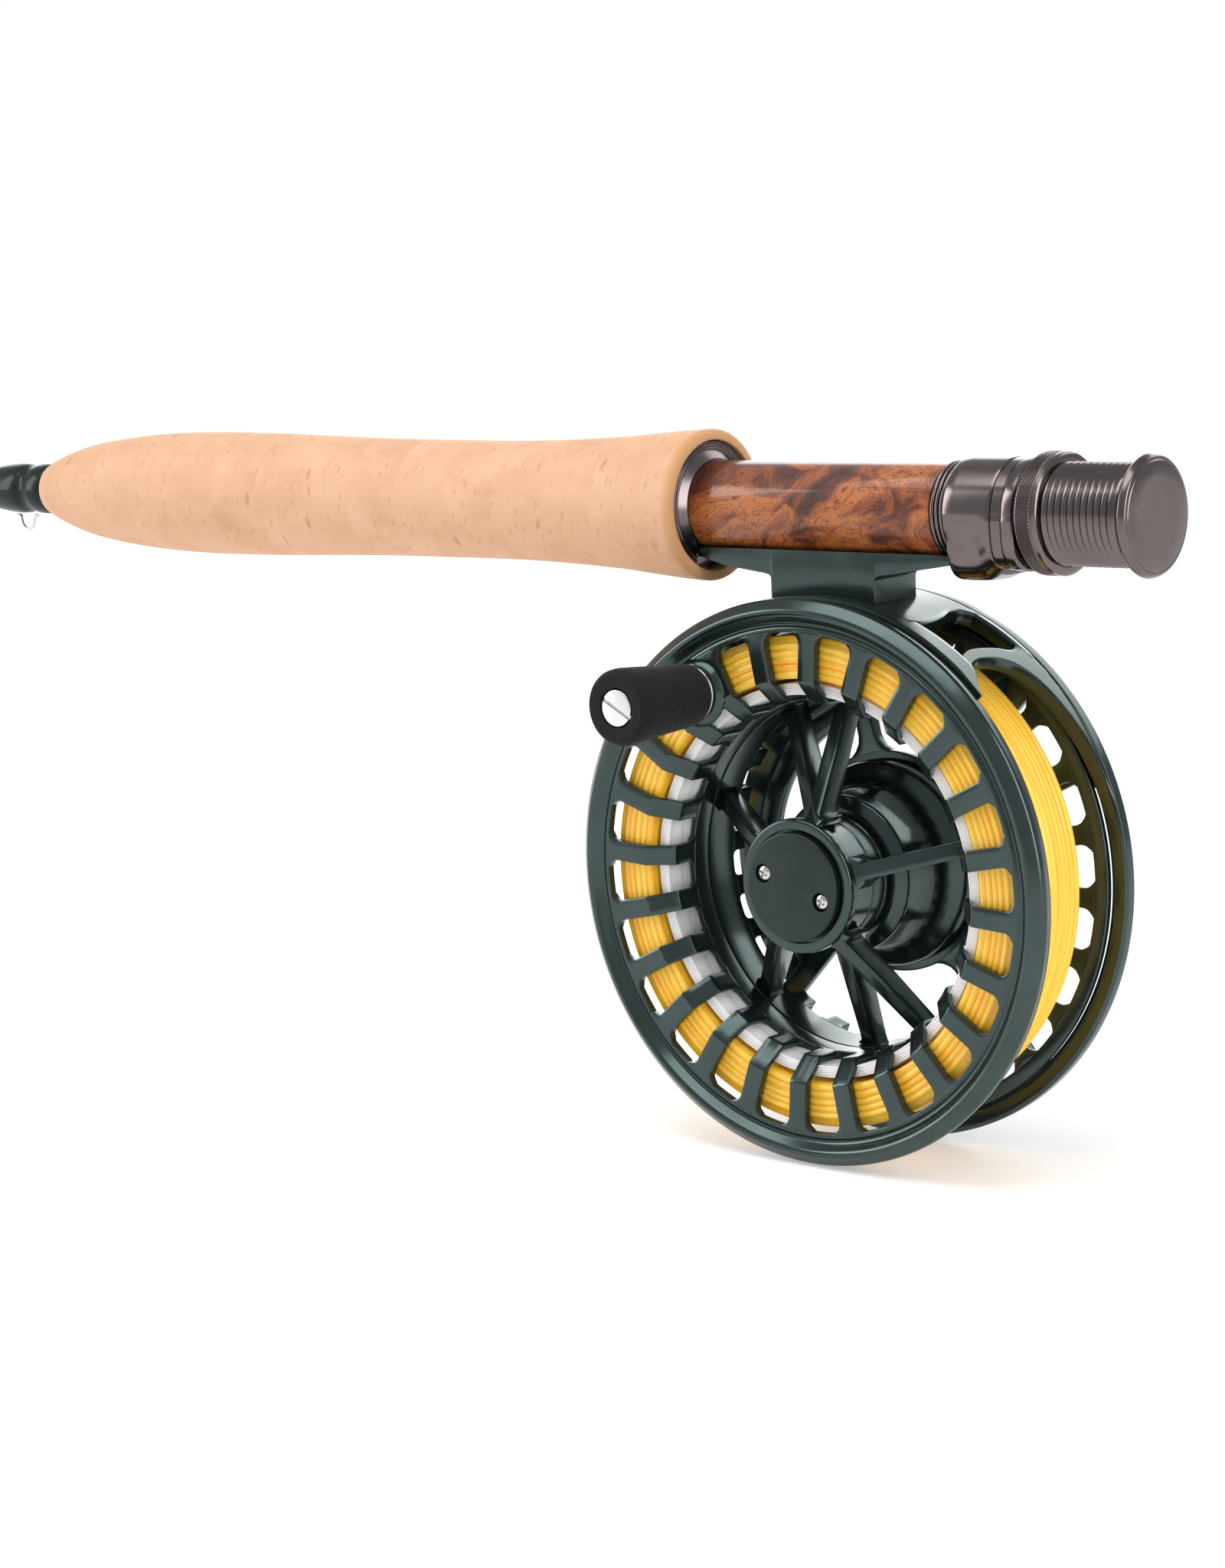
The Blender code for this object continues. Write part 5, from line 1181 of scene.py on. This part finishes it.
class BuildSpool(bpy.types.Operator):
    """Spool: rim, slotted flange, bevelled bars, arbor, spokes and hub as one machined piece"""
    bl_idname = "rod.spool"
    bl_label = "Spool"

    def bar(self, sizes):
        """One bar between two slots, from the rim over the bevel to the arbor."""
        y, sheet = FLANGE_Y, sizes.sheet
        bevel = sizes.fold - sizes.arbor
        half, corner = sizes.bar / 2, sizes.slot_corner
        wall = sizes.arbor + 1.2 * MM
        path = []
        for r in np.linspace(sizes.slot_outer + 0.5 * MM, sizes.fold, 16):
            sink = 0.03 * MM if r > sizes.slot_outer + 0.4 * MM else 0.0
            wide = half + flare(sizes.slot_outer - r, corner)
            back = r + (0.55 * MM if r == sizes.fold else 0.0)
            path.append(((r, y + sink), (back, y + sheet - sink), wide))
        for t in (0.33, 0.66, 1.0):
            r, deep = mix(sizes.fold, sizes.arbor, t), y + bevel * t
            back = deep + (0.5 * MM if t < 1 else 0.4 * MM)
            path.append(((r, deep), (max(r + 1.2 * MM, wall), back), half))
        end = -4.2 * MM
        for t in np.linspace(0.15, 1, 10):
            yy = mix(y + bevel, end, t)
            wide = half + flare(end - 0.5 * MM - yy, 1.3 * MM)
            sink = 0.02 * MM if t == 1 else 0.0
            path.append(((sizes.arbor + sink, yy), (wall - sink, yy), wide))
        return bar_strip("spool_bar", path, edge=sizes.edge)

    def rear_y(self, radius):
        """Front face of the rear flange, which leans back towards its edge."""
        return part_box("spool")[1].y + (-1.4 + 2.4 * (radius / MM - 33.2) / 14.2) * MM

    def rear_bar(self, sizes):
        """One tooth at the arbor's rear edge that runs out as a bar of the rear flange."""
        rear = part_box("spool")[1].y
        wall = sizes.arbor + 1.2 * MM
        path = [((sizes.arbor + 0.02 * MM, rear - 4.0 * MM), (wall - 0.02 * MM, rear - 4.0 * MM), 3.6 * MM)]
        for y, half in ((-3.7, 2.9), (-3.45, 2.35), (-3.0, 2.0), (-2.4, 1.85), (-0.8, 1.85), (-0.1, 1.8)):
            path.append(((sizes.arbor, rear + y * MM), (wall, rear + y * MM), half * MM))
        tooth = bar_strip("rear_tooth", path, edge=sizes.edge)
        path = []
        for r in np.linspace(wall - 0.4 * MM, 45.4 * MM, 16):
            front, half = self.rear_y(r), 1.8 * MM + flare(REAR_SLOT - r, 2.4 * MM)
            path.append(((r, front + 0.02 * MM), (r, front + 1.18 * MM), half))
        arm = bar_strip("rear_arm", path, edge=sizes.edge)
        return joined("rear_bar", [tooth, arm])

    def execute(self, context):
        sizes = context.scene.reel_sizes
        y, sheet = FLANGE_Y, sizes.sheet
        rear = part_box("spool")[1].y
        outer = (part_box("spool")[1].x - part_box("spool")[0].x) / 2 + 0.05 * MM
        pieces = []
        rim = [(y, sizes.slot_outer, 0.0003), (y, outer - 5.2 * MM, 0.0006),
               (y + 0.55 * MM, outer - 4.6 * MM, 0.0004), (y + 0.35 * MM, outer - 4.1 * MM, 0.0004),
               (y - 1.2 * MM, outer - 2.9 * MM, 0.0010),
               (y - 1.35 * MM, outer - 2.0 * MM, 0.0008), (y + 0.3 * MM, outer - 0.1 * MM, 0.0007),
               (y + 1.2 * MM, outer, 0.0003), (y + 3.2 * MM, outer - 0.5 * MM, 0.0003),
               (y + 3.2 * MM, outer - 2.2 * MM, 0.0003), (y + sheet, outer - 3.0 * MM, 0.0004),
               (y + sheet, sizes.slot_outer, 0.0003)]
        pieces.append(spun("spool_rim", rim, "Y", REEL, 240))
        bars = [FIRST_SLOT + (k + 0.5) * PITCH for k in range(24)]
        pieces.append(around("flange_bars", self.bar(sizes), bars))
        pieces.append(around("rear_bars", self.rear_bar(sizes), bars))
        inner, wall = sizes.arbor, sizes.arbor + 1.2 * MM
        front, back = -4.7 * MM, rear - 3.6 * MM
        arbor = [(front, inner, 0.0003), (-0.9 * MM, inner, 0.0001), (-0.6 * MM, inner + 0.2 * MM, 0),
                 (-0.3 * MM, inner, 0.0001), (back, inner, 0.0003), (back, wall, 0.0003),
                 (front, wall, 0.0003)]
        pieces.append(spun("arbor", arbor, "Y", REEL, 192))
        slot_y, edge_y, thick = self.rear_y(REAR_SLOT), self.rear_y(REAR_EDGE), 1.2 * MM
        ring = [(slot_y, REAR_SLOT, 0.0002), (edge_y, REAR_EDGE, 0.0003), (edge_y + thick, REAR_EDGE, 0.0003),
                (slot_y + thick, REAR_SLOT, 0.0002)]
        pieces.append(spun("rear_ring", ring, "Y", REEL, 240))
        # filled place behind the handle
        handle = FIRST_SLOT - PITCH
        path = []
        for r in np.linspace(sizes.slot_outer + 0.4 * MM, sizes.fold, 10):
            path.append(((r, y + 0.03 * MM), (r, y + sheet - 0.03 * MM), r * math.tan(PITCH / 2) - 1.4 * MM))
        for t, shrink in ((0.12, 0.0), (0.22, 0.7), (0.27, 1.6)):
            r = mix(sizes.fold, sizes.arbor, t)
            deep = y + (sizes.fold - r)
            path.append(((r + 0.02 * MM, deep + 0.02 * MM), (r + 1.2 * MM, deep + 0.7 * MM),
                         r * math.tan(PITCH / 2) - (1.4 + shrink) * MM))
        pieces.append(bar_strip("handle_place", path, handle, edge=0.1 * MM))
        boss = [(y + 0.5 * MM, 1.9 * MM, 0), (y + 0.4 * MM, 6.4 * MM, 0.0010),
                (y - 0.15 * MM, 6.0 * MM, 0.0006), (y - 1.0 * MM, 5.2 * MM, 0.0004),
                (y - 1.0 * MM, 1.9 * MM, 0)]
        pieces.append(spun("handle_boss", boss, "Y", KNOB, 64))
        # hub and spokes
        section = ((-1, 0), (-0.3, 0), (0.3, 0), (1, 0), (1, 0.5), (1, 1), (-1, 1), (-1, 0.5))
        front = SPOOL_FRONT
        hub = [(front, 10.15 * MM, 0.0002), (front, 12.1 * MM, 0.0006), (front + 1.9 * MM, 12.1 * MM, 0.0003),
               (front + 2.2 * MM, 11.3 * MM, 0.0002)]
        for groove in (-8.1 * MM, -4.4 * MM):
            hub += [(groove - 0.25 * MM, 11.3 * MM, 0.0001), (groove, 11.05 * MM, 0.0001),
                    (groove + 0.25 * MM, 11.3 * MM, 0.0001)]
        hub += [(-3.4 * MM, 11.3 * MM, 0.0003), (-3.4 * MM, 8.3 * MM, 0), (front + 1.0 * MM, 8.3 * MM, 0),
                (front + 1.0 * MM, 10.15 * MM, 0)]
        pieces.append(spun("spool_hub", hub, "Y", REEL, 128))
        for hub_angle, wall_angle in SPOKES:
            a, b = math.radians(hub_angle), math.radians(wall_angle)
            start, end = polar(10.9 * MM, a, 0), polar(sizes.arbor + 0.5 * MM, b, 0)
            along = end - start
            side = Vector((0, 1, 0)).cross(along).normalized()
            rings = []
            for k in range(21):
                t = k / 20
                run, left = along.length * t, along.length * (1 - t)
                half = 1.5 * MM + flare(run - 0.8 * MM, 1.6 * MM) + flare(left - 0.6 * MM, 1.3 * MM)
                near, deep = mix(front + 0.8 * MM, 1.5 * MM, t), mix(6.0, 4.0, t) * MM
                point = start + along * t
                rings.append([point + side * s * half + Vector((0, near + d * deep, 0)) for s, d in section])
            pieces.append(broken_edges(loft("spoke", rings), 0.22 * MM))
        obj = joined("spool_machined", pieces)
        finish_piece(obj, "spool_unit", MATERIALS["anodised"], "green_anodised", "spool", smooth=32)
        return {"FINISHED"}


class BuildHubCap(bpy.types.Operator):
    """Hub cap and its two cross-head screws"""
    bl_idname = "rod.hub_cap"
    bl_label = "Hub cap"

    def execute(self, context):
        low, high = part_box("hub_cap")
        radius = (high.x - low.x) / 2
        outline = [(high.y, 0, 0), (high.y, radius, 0.0001), (low.y, radius, 0.0004), (low.y, 0, 0)]
        cap = spun("hub_cap_turned", outline, "Y", REEL, 128, closed=False)
        for number in (1, 2):
            node = f"hub_cap_screw_{number}"
            lo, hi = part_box(node)
            centre = Vector(((lo.x + hi.x) / 2, 0, (lo.z + hi.z) / 2))
            head = (hi.x - lo.x) / 2
            seat = spun("screw_seat", [(low.y - 1 * MM, 0, 0), (low.y - 1 * MM, head + 0.35 * MM, 0),
                                       (low.y + 1.2 * MM, head + 0.25 * MM, 0), (low.y + 1.2 * MM, 0, 0)],
                        "Y", centre, 48, closed=False)
            cut(cap, seat)
            dome = [(hi.y, 0, 0), (hi.y, head, 0), (lo.y + 0.35 * MM, head, 0.0002),
                    (lo.y + 0.05 * MM, head * 0.6, 0.0006), (lo.y - 0.03 * MM, 0, 0)]
            screw = spun(node + "_turned", dome, "Y", centre, 48, closed=False)
            for turn in (0.5, 0.5 + math.pi / 2):
                cut(screw, block(centre + Vector((0, lo.y, 0)), (1.7 * MM, 0.9 * MM, 0.42 * MM), turn))
            finish_piece(screw, "spool_unit", MATERIALS["steel"], "stainless_steel", node, smooth=30)
        finish_piece(cap, "spool_unit", MATERIALS["cap"], "green_anodised", "hub_cap", smooth=30)
        return {"FINISHED"}


def wound_skin(strands, turns=256, wander=0.12 * MM, seed=3):
    """Profile over strands of line that run round the spindle.

    Each strand is (radius, y, strand radius, first angle, last angle); the angles are in degrees.
    """
    rng = np.random.default_rng(seed)
    theta = np.linspace(0, 2 * math.pi, turns, endpoint=False)
    profile = []
    for radius, y, thick, first, last in strands:
        phases = rng.uniform(0, 2 * math.pi, 4)
        drift = sum(np.sin(theta * n + p) / n for n, p in zip((1, 2, 3, 5), phases)) * wander / 1.6
        slide = sum(np.sin(theta * n + p + 1) / n for n, p in zip((1, 3, 4, 7), phases)) * wander / 1.8
        for a in np.radians(np.linspace(first, last, 6)):
            profile.append((radius + drift + thick * math.sin(a), y + slide - thick * math.cos(a)))
    return profile, theta


def skin_object(name, profile, theta, back):
    """Closed skin: the strands' profile, then plain corners behind them."""
    rows = [(np.broadcast_to(r, theta.shape), np.broadcast_to(y, theta.shape)) for r, y in profile]
    rows += [(np.full(theta.shape, r), np.full(theta.shape, y)) for r, y in back]
    rings = []
    for k, a in enumerate(theta):
        rings.append([polar(float(r[k]), float(a), float(y[k])) for r, y in rows])
    return loft(name, rings, closed=True)


class BuildLine(bpy.types.Operator):
    """Turns of fly line on the spool, over the white backing"""
    bl_idname = "rod.line"
    bl_label = "Line and backing"

    def execute(self, context):
        sizes = context.scene.reel_sizes
        thick = sizes.line
        low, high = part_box("fly_line_winding")
        outer, front, rear = (high.x - low.x) / 2, low.y, high.y
        base = (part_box("backing_winding")[1].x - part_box("backing_winding")[0].x) / 2 + 0.3 * MM
        step = 2 * thick * 0.96
        strands = []
        count = int((outer - base - thick) / step)
        for k in range(count):
            strands.append((base + thick + k * step, front + thick, thick, -62, 62))
        across = int((rear - front - 2 * thick) / step)
        for k in range(across + 1):
            sunk = 0.15 * MM if k % 5 == 2 else 0
            strands.append((outer - thick - sunk, front + thick * 1.3 + k * step, thick, 32, 148))
        profile, theta = wound_skin(strands)
        obj = skin_object("fly_line_turns", profile, theta, [(base, rear), (base, front + 0.6 * MM)])
        finish_piece(obj, "spool_unit", MATERIALS["line"], "yellow_fly_line", "fly_line_winding", smooth=70)
        low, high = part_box("backing_winding")
        outer, front, rear = (high.x - low.x) / 2, low.y, high.y
        inner = sizes.arbor + 1.5 * MM
        thick = 0.21 * MM
        strands = []
        for k in range(int((outer - inner) / (2 * thick)) - 1):
            strands.append((inner + thick + k * 2 * thick, front + thick, thick, -80, 80))
        profile, theta = wound_skin(strands, turns=240, wander=0.03 * MM, seed=8)
        back = [(outer, rear), (inner + 0.05 * MM, rear)]
        for k in range(int((rear - front) / (2 * thick)) - 1, 0, -1):
            for t in (math.pi / 3, 0, -math.pi / 3):
                y = front + thick + k * 2 * thick + thick * math.sin(t)
                back.append((inner + thick * (1 - math.cos(t)), y))
        obj = skin_object("backing_turns", profile, theta, back)
        finish_piece(obj, "spool_unit", MATERIALS["backing"], "white_backing", "backing_winding", smooth=70)
        return {"FINISHED"}


class BuildHandle(bpy.types.Operator):
    """Foam handle, its slotted screw and the thin washer"""
    bl_idname = "rod.handle"
    bl_label = "Handle"

    def execute(self, context):
        low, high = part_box("handle_knob")
        end, base = low.y, high.y
        # (distance from the base, radius) of the foam, in millimetres
        knots = [(0, 5.2), (0.6, 5.55), (1.6, 5.75), (4.5, 5.95), (8, 6.15), (12, 6.45), (16, 6.75),
                 (18.6, 6.85), (19.8, 6.6), (20.5, 5.9)]
        xs = np.linspace(0, 20.5, 60)
        outline = [(base, 2.1 * MM, 0), (base, 4.6 * MM, 0.0003)]
        outline += [(base - d * MM, r * MM, 0) for d, r in zip(xs, spline(knots, xs))]
        outline += [(end + 0.02 * MM, 5.2 * MM, 0.0004), (end + 0.1 * MM, 3.6 * MM, 0.0003),
                    (end + 1.2 * MM, 3.6 * MM, 0), (end + 1.2 * MM, 2.1 * MM, 0)]
        obj = spun("handle_foam", outline, "Y", KNOB, 128)
        finish_piece(obj, "handle", MATERIALS["foam"], "handle_foam", "handle_knob", smooth=60)
        low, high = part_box("handle_screw")
        head = (high.x - low.x) / 2
        back, shaft = low.y + 0.7 * MM, 1.8 * MM
        outline = [(low.y, 0, 0), (low.y, head, 0.0003), (back, head, 0), (back, shaft, 0),
                   (high.y, shaft, 0), (high.y, 0, 0)]
        screw = spun("handle_screw_slotted", outline, "Y", KNOB, 96, closed=False)
        cut(screw, block(KNOB + Vector((0, low.y, 0)), (9 * MM, 0.9 * MM, 0.75 * MM), math.radians(28)))
        finish_piece(screw, "spool_unit", MATERIALS["aluminium"], "bright_aluminium", "handle_screw",
                     smooth=30)
        low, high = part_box("handle_washer")
        r, hole = (high.x - low.x) / 2 + 0.5 * MM, 2.1 * MM
        outline = [(high.y, hole, 0), (high.y, r, 0.0002), (low.y, r, 0.0002), (low.y, hole, 0)]
        obj = spun("handle_washer_turned", outline, "Y", KNOB, 64)
        finish_piece(obj, "spool_unit", MATERIALS["aluminium"], "stainless_steel", "handle_washer", smooth=30)
        return {"FINISHED"}


INNER_FINISH = {"carbon_drag_disc": "carbon", "drag_seal": "rubber"}
INNER_FINISH.update(dict.fromkeys(
    ("spindle", "steel_drag_disc", "pressure_plate", "drag_spring_washer", "front_bearing", "one_way_clutch",
     "rear_bearing", "foot_screw_1", "foot_screw_2"), "steel"))


class FinishInnerParts(bpy.types.Operator):
    """Gives the pieces inside the reel their finishes"""
    bl_idname = "rod.inner_parts"
    bl_label = "Inner parts"

    def execute(self, context):
        for node, finish in INNER_FINISH.items():
            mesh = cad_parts[node].data
            mesh.materials.clear()
            mesh.materials.append(MATERIALS[finish])
        return {"FINISHED"}


# ------------------------------------------------------------------ stage
class BuildStage(bpy.types.Operator):
    """Pale floor, soft studio lights and the camera"""
    bl_idname = "rod.stage"
    bl_label = "Stage"

    def light(self, name, place, target, size_x, size_y, power, tone=(1, 1, 1)):
        data = bpy.data.lights.new(name, "AREA")
        data.shape = "RECTANGLE"
        data.size, data.size_y = size_x, size_y
        data.energy = power
        data.color = tone
        obj = bpy.data.objects.new(name, data)
        bpy.context.scene.collection.objects.link(obj)
        obj.location = place
        obj.rotation_euler = (Vector(target) - Vector(place)).to_track_quat("-Z", "Y").to_euler()
        return obj

    def execute(self, context):
        scene = context.scene
        deselect()
        bpy.ops.mesh.primitive_grid_add(x_subdivisions=8, y_subdivisions=8, size=14,
                                        location=(0, 0, FLOOR_Z - 0.2 * MM))
        floor = bpy.context.active_object
        floor.name = "floor"
        mat, t, shader, place = new_material("Floor Paper", Roughness=0.9, Specular_IOR_Level=0.1,
                                             Emission_Color=(1, 1, 1))
        away = t.vector("SUBTRACT", place, (REEL.x, 0, 0))
        distance = t.add("ShaderNodeVectorMath", {0: away}, operation="LENGTH").outputs["Value"]
        far = t.span(distance, 0.25, 0.75)
        t.set(shader, "Base Color", t.blend(far, (0.66, 0.66, 0.66), (0, 0, 0)))
        t.set(shader, "Emission Strength", t.span(distance, 0.25, 0.75, 0.34, 1.05))
        floor.data.materials.append(mat)

        world = bpy.data.worlds.new("Studio")
        scene.world = world
        world.use_nodes = True
        tools = Shading(world.node_tree)
        world.node_tree.nodes.clear()
        ray = tools.add("ShaderNodeLightPath").outputs["Is Camera Ray"]
        seen = tools.add("ShaderNodeBackground", {"Color": (1, 1, 1), "Strength": 1.0}).outputs[0]
        fill = tools.add("ShaderNodeBackground", {"Color": (0.95, 0.97, 1.0), "Strength": 0.50}).outputs[0]
        both = tools.add("ShaderNodeMixShader", {0: ray, 1: fill, 2: seen}).outputs[0]
        tools.add("ShaderNodeOutputWorld", {"Surface": both})

        centre = (0.1, 0, -0.04)
        self.light("key_above", (0.0, -0.4, 1.2), centre, 1.3, 0.8, 11)
        self.light("left_box", (-1.1, -0.8, 0.45), centre, 0.5, 1.1, 10)
        self.light("right_box", (1.3, -0.3, 0.45), centre, 0.45, 1.1, 9)
        self.light("back_box", (0.3, 1.5, 0.9), centre, 1.6, 0.6, 8)
        self.light("low_back", (-0.95, 1.5, 0.45), centre, 2.0, 1.1, 16)

        data = bpy.data.cameras.new("camera")
        data.sensor_fit = "HORIZONTAL"
        data.sensor_width = 36
        data.lens = 36 * 4455.04 / 1600
        data.clip_start = 0.01
        camera = bpy.data.objects.new("camera", data)
        scene.collection.objects.link(camera)
        yaw, pitch, roll = math.radians(40.77), math.radians(8.846), math.radians(-2.143)
        look = Vector((-math.sin(yaw) * math.cos(pitch), math.cos(yaw) * math.cos(pitch), -math.sin(pitch)))
        right = look.cross(Vector((0, 0, 1))).normalized()
        up = right.cross(look)
        c, s = math.cos(roll), math.sin(roll)
        right, up = c * right + s * up, c * up - s * right
        turn = Matrix((right, up, -look)).transposed().to_4x4()
        camera.matrix_world = Matrix.Translation((REEL.x + 0.36325, -0.48562, 0.04618)) @ turn
        scene.camera = camera
        scene.view_settings.view_transform = "Standard"
        return {"FINISHED"}


STEPS = (BuildFinishes, BuildBlanks, BuildWindings, BuildHookKeeper, BuildGuides, BuildGrip, BuildSeatRings,
         BuildBarrel, BuildHood, BuildLockRing, BuildFoot, BuildFrame, BuildDrag, BuildSpool, BuildHubCap,
         BuildLine, BuildHandle, FinishInnerParts, BuildStage)


class RodPanel(bpy.types.Panel):
    """Lists the building steps of the rod and reel"""
    bl_idname = "VIEW3D_PT_rod"
    bl_label = "Fly Rod and Reel"
    bl_space_type = "VIEW_3D"
    bl_region_type = "UI"
    bl_category = "Rod"

    def draw(self, context):
        for group in ("rod_sizes", "reel_sizes", "rod_finishes"):
            column = self.layout.column(align=True)
            values = getattr(context.scene, group)
            for key in values.__annotations__:
                column.prop(values, key)
        for step in STEPS:
            self.layout.operator(step.bl_idname)


CLASSES = (RodSizes, ReelSizes, Finishes, *STEPS, RodPanel)


def register():
    for cls in CLASSES:
        bpy.utils.register_class(cls)
    bpy.types.Scene.rod_sizes = bpy.props.PointerProperty(type=RodSizes)
    bpy.types.Scene.reel_sizes = bpy.props.PointerProperty(type=ReelSizes)
    bpy.types.Scene.rod_finishes = bpy.props.PointerProperty(type=Finishes)


def unregister():
    for name in ("rod_sizes", "reel_sizes", "rod_finishes"):
        delattr(bpy.types.Scene, name)
    for cls in reversed(CLASSES):
        bpy.utils.unregister_class(cls)


def main():
    register()
    deselect()
    for step in STEPS:
        group, name = step.bl_idname.split(".")
        getattr(getattr(bpy.ops, group), name)()


if __name__ == "__main__":
    main()
